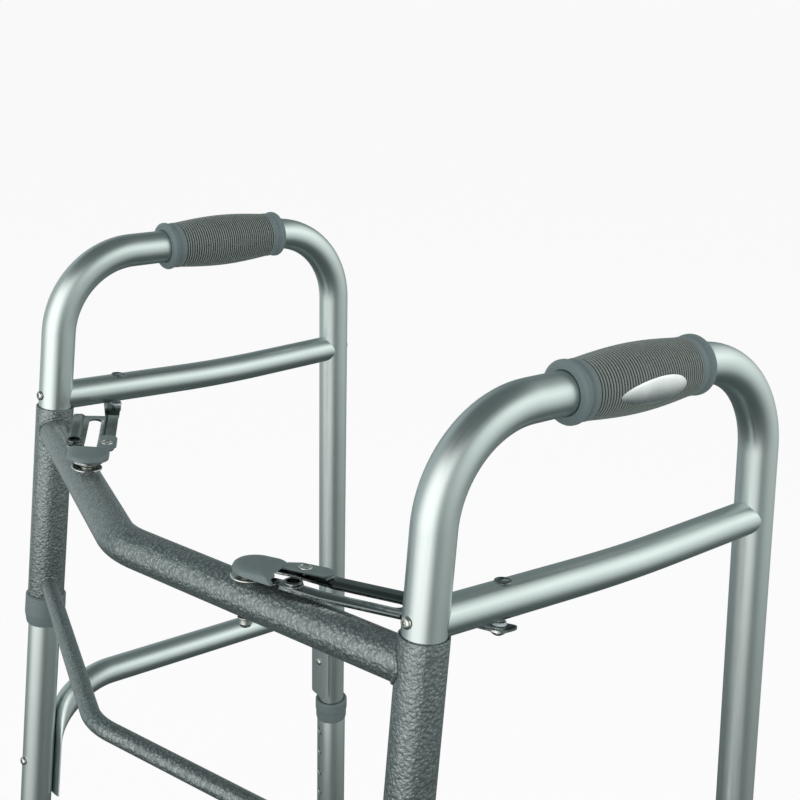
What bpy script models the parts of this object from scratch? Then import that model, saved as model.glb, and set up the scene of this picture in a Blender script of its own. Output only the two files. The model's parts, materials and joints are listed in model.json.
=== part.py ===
"""Two-wheeled folding walker, modelled at its real size in metres with +Z up.

X runs across the walker, with the left side frame at +X. The front, where the wheels are,
is at -Y, and the person walks in from +Y. The floor is z = 0.

The left and right side frames each turn on the front leg inside a sleeve of the front frame.
A slotted arm on each upper brace slides over a stud on the crossbar as its side folds.
"""

import math

import bmesh
import bpy
from mathutils import Matrix, Vector

INCH = 0.0254
RUNNING_GAP = 0.0003
BORE_GAP = 0.0004

# Side frame: one bent tube that makes the front leg, the handle and the rear leg.
LEG_OD = 1.0 * INCH
LEG_WALL = 0.0016
SIDE_SPACING = 0.448
SLEEVE_TOP_HEIGHT = 0.680
SLEEVE_TOP_Y = -0.1076
SIDE_TOE_OUT = 0.0271
SIDE_LEAN = 0.0385
FRONT_LEG_RAKE = 0.0806
REAR_LEG_RAKE = 0.0511
LEG_SPREAD = 0.2751
HANDLE_RISE = 0.1171
FRONT_BEND_RADIUS = 0.0635
REAR_BEND_RADIUS = 0.0692
LEG_TUBE_END = 0.590
BEND_STEPS = 5

# Braces between the two legs of a side frame.
BRACE_OD = 0.875 * INCH
BRACE_WALL = 0.0015
UPPER_BRACE_FRONT = 0.0057
UPPER_BRACE_KINK_BACK = 0.1524
UPPER_BRACE_KINK = 0.0014
UPPER_BRACE_REAR = 0.0046
LOWER_BRACE_FRONT = -0.2528
LOWER_BRACE_REAR = -0.2623
LOWER_BRACE_FRONT_END = -0.353
LOWER_BRACE_REAR_END = -0.368
LOWER_BRACE_BEND = 0.052
CUP_WIDTH = 0.027
CUP_DEPTH = 0.011
CUP_SEAT = 0.0035
FRONT_RIVET_DROP = 0.315
REAR_RIVET_DROP = 0.333

# Front frame: two sleeves, the crossbar and the lower bar.
SLEEVE_OD = 1.125 * INCH
SLEEVE_LENGTH = 0.160
COLLAR_OD = 0.032
COLLAR_LENGTH = 0.026
CROSSBAR_OD = 1.0 * INCH
CROSSBAR_WALL = 0.0018
CROSSBAR_DROP = 0.0191
CROSSBAR_REACH = 0.0607
CROSSBAR_MIDDLE_DROP = 0.0160
CROSSBAR_BEND = 0.061
LOWER_BAR_OD = 0.5 * INCH
LOWER_BAR_DROP = 0.1475
LOWER_BAR_REACH = 0.0838
LOWER_BAR_MIDDLE_DROP = 0.1384
LOWER_BAR_BEND = 0.050

# Hand grip.
GRIP_LENGTH = 0.105
GRIP_START = {1: 0.095, -1: 0.098}
GRIP_END_RADIUS = 0.0176
GRIP_BELLY_RADIUS = 0.0205
GRIP_FLANGE_RADIUS = 0.0185
GRIP_FLANGE_WIDTH = 0.0075

# Folding arm: levels are measured along the fold axis from the sleeve top.
STUD_SPAN = 0.104
ARM_PIVOT_BACK = 0.054
ARM_PIVOT_OFFSET = 0.013
ARM_SHEET = 0.002
ARM_WIDTH = 0.034
PIVOT_LUG = 0.0095
RELIEF_SLOPE = 0.085
END_PLATE_EDGE = 0.009
END_PLATE_CORNER = 0.008
TONGUE_WIDTH = 0.022
TONGUE_OVERHANG = 0.011
RAIL_START = 0.020
RAIL_HEIGHT = 0.003
RAMP_START = 0.025
RAMP_END = 0.050
DROP_START = 0.104
DROP_END = 0.117
ARM_UPPER_LEVEL = 0.0037
ARM_MIDDLE_LEVEL = -0.0005
SLOT_WIDTH = 0.009
SLOT_START = -0.006
SLOT_END = 0.097
PIVOT_SPACER_HEIGHT = 0.003
PIVOT_SHANK_RADIUS = 0.003
FASTENER_SHANK_RADIUS = 0.0027
FASTENER_HOLE_RADIUS = 0.0034
STUD_SHANK_RADIUS = 0.0032
STUD_WASHER_RADIUS = 0.011
STUD_WASHER_HEIGHT = 0.0015
SLOT_NECK_RADIUS = 0.0040
SLOT_HEAD_RADIUS = 0.0062
SLOT_HEAD_HEIGHT = 0.0032
SLOT_HEAD_LIFT = 0.0023

# Release paddle, in heights above the top of the arm's upper level.
PAD_RADIUS = 0.016
PAD_WALL = 0.0025
PAD_END = 0.020
PAD_RIM = 0.001
PAD_CEILING = 0.0100
PAD_TOP = 0.0125
LEVER_BOTTOM = 0.0046
LEVER_TOP = 0.0085
LEVER_INNER = 0.0074
LEVER_OUTER = 0.0190
LEVER_NOSE_RADIUS = 0.0085
PADDLE_HINGE_ALONG = 0.033
LEVER_HOLE_RADIUS = 0.0034
RIVET_SHANK_RADIUS = 0.0020
RIVET_HEAD_RADIUS = 0.0048
RIVET_LATERAL = 0.0126
EYELET_RADIUS = 0.0046
EYELET_BARREL_RADIUS = 0.0017
EYELET_BORE_RADIUS = 0.0010
EYELET_ALONG = 0.0315
EYELET_LATERAL = -0.0130

# Leg extensions, wheels and tips.
EXTENSION_OD = 1.125 * INCH
EXTENSION_WALL = 0.0012
EXTENSION_TOP = 0.380
EXTENSION_COLLAR_OD = 0.032
EXTENSION_COLLAR_LENGTH = 0.022
HOLE_PITCH = 1.0 * INCH
HOLE_COUNT = 7
FIRST_HOLE_DROP = 0.412
HOLE_RADIUS = 0.0042
BUTTON_RADIUS = 0.0036
BUTTON_PROUD = 0.0012
WHEEL_RADIUS = 0.0635
TYRE_SECTION = 0.0115
TYRE_WIDTH = 0.024
HUB_RIM_RADIUS = 0.051
AXLE_RADIUS = 0.004
FRONT_END_BELOW_AXLE = 0.020
TIP_RADIUS = 0.020
TIP_HEIGHT = 0.046
TIP_CUP_RADIUS = 0.0172
TIP_FLOOR = 0.009
TUBE_SIDES = 12
TURNED_STEPS = 16
SMALL_STEPS = 10
TYRE_STEPS = 28
HUB_STEPS = 20

LEFT = 1
RIGHT = -1
SIDE_NAMES = {LEFT: "left", RIGHT: "right"}
LEG_RADIUS = LEG_OD / 2
SLEEVE_RADIUS = SLEEVE_OD / 2
BRACE_RADIUS = BRACE_OD / 2
CROSSBAR_RADIUS = CROSSBAR_OD / 2
LOWER_BAR_RADIUS = LOWER_BAR_OD / 2
EXTENSION_RADIUS = EXTENSION_OD / 2
SLIDE_BORE = LEG_RADIUS + BORE_GAP
BUTTON_DROP = FIRST_HOLE_DROP + (HOLE_COUNT - 1) * HOLE_PITCH

FINISHES = {
    "silver_tube": ((0.62, 0.68, 0.67, 1.0), 0.30, 1.0),
    "hammered_paint": ((0.16, 0.20, 0.20, 1.0), 0.42, 0.3),
    "grip_rubber": ((0.20, 0.26, 0.25, 1.0), 0.60, 0.0),
    "grey_plastic": ((0.15, 0.19, 0.19, 1.0), 0.45, 0.0),
    "arm_steel": ((0.10, 0.11, 0.11, 1.0), 0.30, 0.8),
    "bright_steel": ((0.60, 0.62, 0.62, 1.0), 0.25, 1.0),
    "pale_nylon": ((0.75, 0.78, 0.76, 1.0), 0.40, 0.0),
    "tyre_rubber": ((0.05, 0.055, 0.055, 1.0), 0.75, 0.0),
    "wheel_plastic": ((0.35, 0.40, 0.40, 1.0), 0.45, 0.0),
    "tip_rubber": ((0.12, 0.14, 0.14, 1.0), 0.80, 0.0),
}


def clear_scene():
    for obj in list(bpy.data.objects):
        bpy.data.objects.remove(obj, do_unlink=True)


def new_collection(name):
    collection = bpy.data.collections.new(name)
    bpy.context.scene.collection.children.link(collection)
    return collection


def finish_material(node_name, finish):
    colour, roughness, metallic = FINISHES[finish]
    material = bpy.data.materials.new(node_name + "_" + finish)
    material.use_nodes = True
    shader = material.node_tree.nodes["Principled BSDF"]
    shader.inputs["Base Color"].default_value = colour
    shader.inputs["Roughness"].default_value = roughness
    shader.inputs["Metallic"].default_value = metallic
    material.diffuse_color = colour
    return material


class Workshop:
    """Holds the two collections and adds finished pieces and cutters to them."""

    def __init__(self):
        self.parts = new_collection("two_wheeled_walker")
        self.cutters = new_collection("cutters")

    def empty(self, name, parent=None, matrix=None):
        obj = bpy.data.objects.new(name, None)
        obj.empty_display_size = 0.03
        self.parts.objects.link(obj)
        obj.parent = parent
        obj.matrix_local = matrix or Matrix.Identity(4)
        return obj

    def piece(self, name, mesh, finish, parent=None, matrix=None, smooth=True):
        obj = bpy.data.objects.new(name, mesh)
        self.parts.objects.link(obj)
        obj.parent = parent
        obj.matrix_local = matrix or Matrix.Identity(4)
        mesh.materials.clear()
        mesh.materials.append(finish_material(name, finish))
        if smooth:
            mesh.shade_smooth()
            mesh.set_sharp_from_angle(angle=math.radians(35))
        return obj

    def cutter(self, name, mesh, parent=None, matrix=None):
        obj = bpy.data.objects.new(name, mesh)
        self.cutters.objects.link(obj)
        obj.parent = parent
        obj.matrix_local = matrix or Matrix.Identity(4)
        obj.hide_render = True
        obj.display_type = "WIRE"
        return obj


def cut(obj, cutter, label="cut"):
    modifier = obj.modifiers.new(label, "BOOLEAN")
    modifier.operation = "DIFFERENCE"
    modifier.solver = "EXACT"
    modifier.object = cutter


def join(obj, other, label="join"):
    modifier = obj.modifiers.new(label, "BOOLEAN")
    modifier.operation = "UNION"
    modifier.solver = "EXACT"
    modifier.object = other


def mesh_from(obj):
    """The evaluated mesh of a construction object, welded, with the object removed."""
    bpy.context.view_layer.update()
    graph = bpy.context.evaluated_depsgraph_get()
    mesh = bpy.data.meshes.new_from_object(obj.evaluated_get(graph))
    welded = bmesh.new()
    welded.from_mesh(mesh)
    bmesh.ops.remove_doubles(welded, verts=welded.verts, dist=1e-6)
    bmesh.ops.recalc_face_normals(welded, faces=welded.faces)
    welded.to_mesh(mesh)
    welded.free()
    bpy.data.objects.remove(obj, do_unlink=True)
    return mesh


def fillet_arc(before, corner, after, radius, steps):
    """Points of the arc that rounds one corner of a path."""
    to_before = (before - corner).normalized()
    to_after = (after - corner).normalized()
    half = to_before.angle(to_after) / 2
    start = corner + to_before * (radius / math.tan(half))
    end = corner + to_after * (radius / math.tan(half))
    centre = corner + (to_before + to_after).normalized() * (radius / math.sin(half))
    first = start - centre
    last = end - centre
    sweep = first.angle(last)
    points = []
    for step in range(steps + 1):
        share = step / steps
        near = math.sin((1 - share) * sweep) / math.sin(sweep)
        far = math.sin(share * sweep) / math.sin(sweep)
        points.append(centre + first * near + last * far)
    return points


def rounded_path(corners, radii, steps=BEND_STEPS):
    """A path through the corners, each inner one rounded by its radius, or kept sharp at None."""
    path = [corners[0]]
    for index, radius in enumerate(radii, start=1):
        if radius is None:
            path.append(corners[index])
            continue
        path.extend(fillet_arc(corners[index - 1], corners[index], corners[index + 1], radius, steps))
    path.append(corners[-1])
    return path


def swept_mesh(path, radius, sides=TUBE_SIDES, capped=True):
    """A round bar along the path."""
    curve = bpy.data.curves.new("path", "CURVE")
    curve.dimensions = "3D"
    curve.bevel_depth = radius
    curve.bevel_resolution = (sides - 4) // 2
    curve.use_fill_caps = capped
    spline = curve.splines.new("POLY")
    spline.points.add(len(path) - 1)
    for point, place in zip(spline.points, path):
        point.co = (*place, 1.0)
    obj = bpy.data.objects.new("path", curve)
    bpy.context.scene.collection.objects.link(obj)
    return mesh_from(obj)


def hollow_tube(shop, name, path, radius, wall, finish, parent, sides=TUBE_SIDES):
    """A round tube of even wall, open at both ends."""
    obj = shop.piece(name, swept_mesh(path, radius, sides, capped=False), finish, parent)
    shell = obj.modifiers.new("wall", "SOLIDIFY")
    shell.thickness = wall
    shell.offset = -1.0
    shell.use_even_offset = True
    return obj


def turned_mesh(profile, steps=TURNED_STEPS, ring=False):
    """A solid of revolution on Z from (radius, height) points that run down the outer side."""
    mesh = bpy.data.meshes.new("profile")
    points = [(radius, 0.0, height) for radius, height in profile]
    edges = [(index, index + 1) for index in range(len(points) - 1)]
    if ring:
        edges.append((len(points) - 1, 0))
    mesh.from_pydata(points, edges, [])
    obj = bpy.data.objects.new("profile", mesh)
    bpy.context.scene.collection.objects.link(obj)
    screw = obj.modifiers.new("turn", "SCREW")
    screw.axis = "Z"
    screw.steps = steps
    screw.render_steps = steps
    screw.use_merge_vertices = True
    screw.merge_threshold = 1e-5
    return mesh_from(obj)


def ring_mesh(outer, inner, bottom, top, steps=TURNED_STEPS):
    return turned_mesh([(inner, top), (outer, top), (outer, bottom), (inner, bottom)], steps, ring=True)


def rod_mesh(radius, bottom, top, steps=12):
    mesh = bpy.data.meshes.new("rod")
    solid = bmesh.new()
    place = Matrix.Translation((0.0, 0.0, (bottom + top) / 2))
    bmesh.ops.create_cone(
        solid,
        cap_ends=True,
        segments=steps,
        radius1=radius,
        radius2=radius,
        depth=top - bottom,
        matrix=place,
    )
    solid.to_mesh(mesh)
    solid.free()
    return mesh


def box_mesh(low, high):
    mesh = bpy.data.meshes.new("box")
    solid = bmesh.new()
    low = Vector(low)
    high = Vector(high)
    size = high - low
    place = Matrix.Translation((low + high) / 2) @ Matrix.Diagonal((*size, 1.0))
    bmesh.ops.create_cube(solid, size=1.0, matrix=place)
    solid.to_mesh(mesh)
    solid.free()
    return mesh


def outline_mesh(points, bottom, top):
    """A flat outline in the XY plane, extruded between two heights."""
    curve = bpy.data.curves.new("outline", "CURVE")
    curve.dimensions = "2D"
    curve.fill_mode = "BOTH"
    curve.extrude = (top - bottom) / 2
    spline = curve.splines.new("POLY")
    spline.points.add(len(points) - 1)
    spline.use_cyclic_u = True
    for point, place in zip(spline.points, points):
        point.co = (place[0], place[1], 0.0, 1.0)
    obj = bpy.data.objects.new("outline", curve)
    bpy.context.scene.collection.objects.link(obj)
    mesh = mesh_from(obj)
    mesh.transform(Matrix.Translation((0.0, 0.0, (bottom + top) / 2)))
    return mesh


def arc_points(centre, radius, start, end, steps):
    """Points on an arc in the XY plane, angles in degrees."""
    points = []
    for step in range(steps + 1):
        angle = math.radians(start + (end - start) * step / steps)
        points.append((centre[0] + radius * math.cos(angle), centre[1] + radius * math.sin(angle)))
    return points


def axis_along(direction, origin):
    """A matrix whose Z axis is the direction, placed at the origin."""
    turn = Vector((0.0, 0.0, 1.0)).rotation_difference(Vector(direction))
    return Matrix.Translation(origin) @ turn.to_matrix().to_4x4()


def side_matrix(side):
    """Side frame axes: X across, Y rearward in the side plane, Z up in the side plane."""
    toe_cos = math.cos(SIDE_TOE_OUT)
    toe_sin = math.sin(SIDE_TOE_OUT)
    outward = Vector((side * toe_cos, -toe_sin, 0.0))
    rearward = Vector((side * toe_sin, toe_cos, 0.0))
    up = Vector((0.0, 0.0, 1.0))
    normal = outward * math.cos(SIDE_LEAN) + up * math.sin(SIDE_LEAN)
    upward = up * math.cos(SIDE_LEAN) - outward * math.sin(SIDE_LEAN)
    matrix = Matrix.Identity(4)
    matrix.col[0] = (*(normal * side), 0.0)
    matrix.col[1] = (*rearward, 0.0)
    matrix.col[2] = (*upward, 0.0)
    matrix.col[3] = (side * SIDE_SPACING / 2, SLEEVE_TOP_Y, SLEEVE_TOP_HEIGHT, 1.0)
    return matrix


def front_leg(height):
    """A point of the front leg's axis in side frame axes, at a height over the sleeve top."""
    return Vector((0.0, FRONT_LEG_RAKE * height, height))


def rear_leg(height):
    return Vector((0.0, LEG_SPREAD - REAR_LEG_RAKE * height, height))


FOLD_TURN = Matrix.Rotation(-math.atan(FRONT_LEG_RAKE), 4, "X")
REAR_TURN = Matrix.Rotation(math.atan(REAR_LEG_RAKE), 4, "X")
LEG_STRETCH = math.sqrt(1 + FRONT_LEG_RAKE**2)
REAR_STRETCH = math.sqrt(1 + REAR_LEG_RAKE**2)


class Side:
    """One side of the walker: its axes, and where its stud, arm and wheel lie."""

    def __init__(self, shop, side):
        self.sign = side
        self.name = SIDE_NAMES[side]
        plane = side_matrix(side)
        self.plane = shop.empty(self.name + "_side_axes", None, plane)
        self.fold = shop.empty(self.name + "_fold_axis", self.plane, FOLD_TURN)
        rear = Matrix.Translation(rear_leg(0.0)) @ REAR_TURN
        self.rear = shop.empty(self.name + "_rear_leg_axis", self.plane, rear)
        self.fold_world = plane @ FOLD_TURN
        self.rear_world = plane @ rear

        bar_end, middle = crossbar_line(plane)
        share = (bar_end.x - side * STUD_SPAN) / (bar_end.x - middle.x)
        stud = self.fold_world.inverted() @ bar_end.lerp(middle, share)
        self.stud_plan = Vector((stud.x, stud.y, 0.0))
        self.crown = stud.z + CROSSBAR_RADIUS
        pivot = self.fold_world.inverted() @ (plane @ upper_brace_point(ARM_PIVOT_BACK))
        self.pivot_plan = Vector((pivot.x, pivot.y, 0.0))
        self.brace_height = pivot.z
        self.brace_underside = pivot.z - BRACE_RADIUS

        reach = self.pivot_plan - self.stud_plan
        self.pivot_along = math.sqrt(reach.length**2 - ARM_PIVOT_OFFSET**2)
        offset_angle = math.asin(ARM_PIVOT_OFFSET / reach.length)
        self.slot_angle = math.atan2(reach.y, reach.x) - side * offset_angle
        turn = Matrix.Rotation(self.slot_angle, 4, "Z")
        self.arm = shop.empty(self.name + "_arm_axis", self.fold, Matrix.Translation(self.pivot_plan) @ turn)
        hinge_place = Matrix.Translation((*self.on_arm(PADDLE_HINGE_ALONG, 0.0), self.hinge_level()))
        self.hinge = shop.empty(self.name + "_paddle_axis", self.arm, hinge_place)

    def on_arm(self, along, lateral):
        """Arm axes from a distance along the slot from the stud, and one across it rearward."""
        return (along - self.pivot_along, self.sign * (lateral - ARM_PIVOT_OFFSET))

    def on_paddle(self, along, lateral):
        return (along - PADDLE_HINGE_ALONG, self.sign * lateral)

    def fastener_places(self):
        """Name, axes and place of each fastener that goes through a leg, on that leg's axis."""
        return [
            ("front_screw", self.fold, Vector((0.0, 0.0, UPPER_BRACE_FRONT * LEG_STRETCH))),
            ("rear_screw", self.rear, Vector((0.0, 0.0, UPPER_BRACE_REAR * REAR_STRETCH))),
            ("front_rivet", self.fold, Vector((0.0, 0.0, -FRONT_RIVET_DROP * LEG_STRETCH))),
            ("rear_rivet", self.rear, Vector((0.0, 0.0, -REAR_RIVET_DROP * REAR_STRETCH))),
        ]

    def hinge_level(self):
        return ARM_UPPER_LEVEL + ARM_SHEET + LEVER_TOP

    def arm_lower_level(self):
        """Underside of the arm where it hangs on the pivot bolt below the brace."""
        return self.brace_underside - PIVOT_SPACER_HEIGHT - 2 * RUNNING_GAP - ARM_SHEET


def crossbar_line(plane):
    """The crossbar's end on one leg axis, and its corner at the middle, in world axes."""
    end = plane @ front_leg(-CROSSBAR_DROP)
    middle = Vector((0.0, SLEEVE_TOP_Y - CROSSBAR_REACH, SLEEVE_TOP_HEIGHT - CROSSBAR_MIDDLE_DROP))
    return end, middle


def upper_brace_point(back):
    """The upper brace's axis at a distance behind the sleeve top, in side frame axes."""
    front = front_leg(UPPER_BRACE_FRONT)
    kink = Vector((0.0, UPPER_BRACE_KINK_BACK, UPPER_BRACE_KINK))
    share = (back - front.y) / (kink.y - front.y)
    return front.lerp(kink, share)


def make_side_tube(shop, side):
    rake = FRONT_LEG_RAKE
    corners = [
        front_leg(-LEG_TUBE_END),
        Vector((0.0, rake * HANDLE_RISE, HANDLE_RISE)),
        Vector((0.0, LEG_SPREAD - REAR_LEG_RAKE * HANDLE_RISE, HANDLE_RISE)),
        rear_leg(-LEG_TUBE_END),
    ]
    path = rounded_path(corners, [FRONT_BEND_RADIUS, REAR_BEND_RADIUS])
    tube = hollow_tube(shop, side.name + "_side_tube", path, LEG_RADIUS, LEG_WALL, "silver_tube", side.plane)
    rod = rod_mesh(FASTENER_HOLE_RADIUS, -LEG_OD, LEG_OD, 6)
    for label, axes, place in side.fastener_places():
        hole = shop.cutter(f"{side.name}_{label}_hole", rod, axes, axis_along((0, 1, 0), place))
        cut(tube, hole, label)
    button_rod = rod_mesh(HOLE_RADIUS, 0.0, LEG_OD, 8)
    for label, axes, stretch in (("front", side.fold, LEG_STRETCH), ("rear", side.rear, REAR_STRETCH)):
        place = axis_along((0, -1, 0), Vector((0.0, 0.0, -BUTTON_DROP * stretch)))
        cut(tube, shop.cutter(f"{side.name}_{label}_button_hole", button_rod, axes, place), label + "_button")
    return tube


def leg_cutter(shop, name, axes, radius, low, high):
    """A cylinder on a leg's axis that copes what meets the leg."""
    return shop.cutter(name, rod_mesh(radius, low, high, TURNED_STEPS), axes)


def make_upper_brace(shop, side):
    kink = Vector((0.0, UPPER_BRACE_KINK_BACK, UPPER_BRACE_KINK))
    path = [front_leg(UPPER_BRACE_FRONT), kink, rear_leg(UPPER_BRACE_REAR)]
    brace = hollow_tube(
        shop, side.name + "_upper_brace", path, BRACE_RADIUS, BRACE_WALL, "silver_tube", side.plane
    )
    reach = 2 * BRACE_OD
    cope = LEG_RADIUS + RUNNING_GAP
    cut(brace, leg_cutter(shop, side.name + "_brace_front_cope", side.fold, cope, -reach, reach))
    clear = SLEEVE_RADIUS + 2 * RUNNING_GAP
    cut(brace, leg_cutter(shop, side.name + "_brace_sleeve_clear", side.fold, clear, -reach, 0.0006))
    cut(brace, leg_cutter(shop, side.name + "_brace_rear_cope", side.rear, cope, -reach, reach))
    place = Matrix.Translation(side.pivot_plan)
    hole = rod_mesh(PIVOT_SHANK_RADIUS + RUNNING_GAP, side.brace_height - BRACE_OD, side.brace_height + BRACE_OD, 10)
    cut(brace, shop.cutter(side.name + "_brace_pivot_hole", hole, side.fold, place), "pivot")
    return brace


def squeezed(share):
    """Half width and half depth of the lower brace's tube, from round at 0 to pressed flat at 1."""
    share = min(max(share, 0.0), 1.0)
    half_width = BRACE_RADIUS + (CUP_WIDTH / 2 - BRACE_RADIUS) * share
    half_depth = BRACE_RADIUS + (CUP_DEPTH / 2 - BRACE_RADIUS) * share
    return (half_width, half_depth)


def lower_brace_sections(front_seat, rear_seat):
    """Centres, directions and half sizes of the lower brace's sections, front end to rear end."""
    front_foot = front_leg(LOWER_BRACE_FRONT_END) + Vector((0.0, front_seat, 0.0))
    rear_foot = rear_leg(LOWER_BRACE_REAR_END) - Vector((0.0, rear_seat, 0.0))
    front_corner = front_leg(LOWER_BRACE_FRONT) + Vector((0.0, front_seat, 0.0))
    rear_corner = rear_leg(LOWER_BRACE_REAR) - Vector((0.0, rear_seat, 0.0))
    stations = [(front_foot, squeezed(1.0))]
    front_bend = fillet_arc(front_foot, front_corner, rear_corner, LOWER_BRACE_BEND, BEND_STEPS)
    rear_bend = fillet_arc(front_corner, rear_corner, rear_foot, LOWER_BRACE_BEND, BEND_STEPS)
    for index, point in enumerate(front_bend):
        stations.append((point, squeezed(1.0 - index / 3)))
    for index, point in enumerate(rear_bend):
        stations.append((point, squeezed(1.0 - (BEND_STEPS - index) / 3)))
    stations.append((rear_foot, squeezed(1.0)))
    return stations


def loft_mesh(stations, sides):
    """Skins elliptical sections along a path in the YZ plane, with both ends closed."""
    solid = bmesh.new()
    rings = []
    for index, (centre, (half_width, half_depth)) in enumerate(stations):
        before = stations[max(index - 1, 0)][0]
        after = stations[min(index + 1, len(stations) - 1)][0]
        tangent = (after - before).normalized()
        depthwise = Vector((1.0, 0.0, 0.0)).cross(tangent)
        ring = []
        for step in range(sides):
            angle = 2 * math.pi * step / sides
            across = Vector((half_width * math.cos(angle), 0.0, 0.0))
            ring.append(solid.verts.new(centre + across + depthwise * (half_depth * math.sin(angle))))
        rings.append(ring)
    for near, far in zip(rings, rings[1:]):
        for step in range(sides):
            after = (step + 1) % sides
            solid.faces.new((near[step], near[after], far[after], far[step]))
    solid.faces.new(reversed(rings[0]))
    solid.faces.new(rings[-1])
    bmesh.ops.recalc_face_normals(solid, faces=solid.faces)
    mesh = bpy.data.meshes.new("loft")
    solid.to_mesh(mesh)
    solid.free()
    return mesh


def make_lower_brace(shop, side):
    seat = LEG_RADIUS + CUP_SEAT
    mesh = loft_mesh(lower_brace_sections(seat, seat), TUBE_SIDES)
    brace = shop.piece(side.name + "_lower_brace", mesh, "silver_tube", side.plane)
    cope = LEG_RADIUS + RUNNING_GAP
    low = -LEG_TUBE_END
    cut(brace, leg_cutter(shop, side.name + "_cup_front", side.fold, cope, low, -SLEEVE_LENGTH))
    cut(brace, leg_cutter(shop, side.name + "_cup_rear", side.rear, cope, low, -SLEEVE_LENGTH))
    rod = rod_mesh(FASTENER_HOLE_RADIUS, -LEG_OD, LEG_OD, 6)
    for label, axes, place in side.fastener_places()[2:]:
        hole = shop.cutter(f"{side.name}_cup_{label}", rod, axes, axis_along((0, 1, 0), place))
        cut(brace, hole, label)
    return brace


def screw_profile(head_radius, head_height, shank_radius, length):
    """A pan head over z = 0 and a plain shank below it."""
    return [
        (0.0, head_height),
        (head_radius * 0.6, head_height),
        (head_radius, head_height * 0.45),
        (head_radius, 0.0),
        (shank_radius, 0.0),
        (shank_radius, -length),
        (0.0, -length),
    ]


def rivet_profile(head_radius, head_height, shank_radius, grip):
    """A domed head over z = 0, a shank through the grip and a formed tail below it."""
    return [
        (0.0, head_height),
        (head_radius * 0.6, head_height * 0.8),
        (head_radius, 0.0),
        (shank_radius, 0.0),
        (shank_radius, -grip),
        (head_radius, -grip),
        (head_radius * 0.6, -grip - head_height * 0.8),
        (0.0, -grip - head_height),
    ]


def make_side_fasteners(shop, side):
    """Screws that hold the upper brace and rivets that hold the lower one, through the legs."""
    shank = FASTENER_SHANK_RADIUS
    seat = LEG_RADIUS + RUNNING_GAP
    grip = LEG_OD + CUP_SEAT + CUP_DEPTH / 2 + 2 * RUNNING_GAP
    profiles = {
        "screw": screw_profile(0.0042, 0.0028, shank, LEG_OD + 0.016),
        "rivet": rivet_profile(0.0045, 0.0022, shank, grip),
    }
    for label, axes, place in side.fastener_places():
        outward = -1 if label.startswith("front") else 1
        matrix = axis_along((0, outward, 0), place + Vector((0.0, outward * seat, 0.0)))
        mesh = turned_mesh(profiles[label.split("_")[1]], 8)
        shop.piece(f"{side.name}_brace_{label}", mesh, "bright_steel", axes, matrix)


def grip_profile():
    """Bore, end flanges and bellied barrel of the hand grip, from z = 0 to its length."""
    bore = LEG_RADIUS + BORE_GAP
    neck = GRIP_FLANGE_WIDTH
    top = GRIP_LENGTH
    outer = [
        (bore, top),
        (GRIP_FLANGE_RADIUS - 0.0015, top),
        (GRIP_FLANGE_RADIUS, top - 0.0022),
        (GRIP_FLANGE_RADIUS, top - 0.0044),
        (GRIP_END_RADIUS - 0.0008, top - neck),
    ]
    barrel_steps = 4
    for step in range(1, barrel_steps):
        share = step / barrel_steps
        swell = (GRIP_BELLY_RADIUS - GRIP_END_RADIUS) * math.sin(math.pi * share)
        outer.append((GRIP_END_RADIUS + swell, top - neck - (top - 2 * neck) * share))
    outer += [
        (GRIP_END_RADIUS - 0.0008, neck),
        (GRIP_FLANGE_RADIUS, 0.0044),
        (GRIP_FLANGE_RADIUS, 0.0022),
        (GRIP_FLANGE_RADIUS - 0.0015, 0.0),
        (bore, 0.0),
    ]
    return outer


def make_grip(shop, side):
    place = axis_along((0, 1, 0), Vector((0.0, GRIP_START[side.sign], HANDLE_RISE)))
    mesh = turned_mesh(grip_profile(), TURNED_STEPS, ring=True)
    return shop.piece(side.name + "_grip", mesh, "grip_rubber", side.plane, place)


def make_sleeve(shop, side):
    bevel = 0.0006
    bore = LEG_RADIUS + BORE_GAP
    profile = [
        (bore, 0.0),
        (SLEEVE_RADIUS - bevel, 0.0),
        (SLEEVE_RADIUS, -bevel),
        (SLEEVE_RADIUS, -SLEEVE_LENGTH),
        (bore, -SLEEVE_LENGTH),
    ]
    mesh = turned_mesh(profile, TURNED_STEPS, ring=True)
    shop.piece(side.name + "_sleeve", mesh, "hammered_paint", side.fold)
    top = -SLEEVE_LENGTH - RUNNING_GAP
    radius = COLLAR_OD / 2
    collar = [
        (bore, top),
        (radius - 0.001, top),
        (radius, top - 0.001),
        (radius, top - COLLAR_LENGTH + 0.002),
        (radius - 0.002, top - COLLAR_LENGTH),
        (bore, top - COLLAR_LENGTH),
    ]
    shop.piece(side.name + "_sleeve_collar", turned_mesh(collar, ring=True), "grey_plastic", side.fold)


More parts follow.
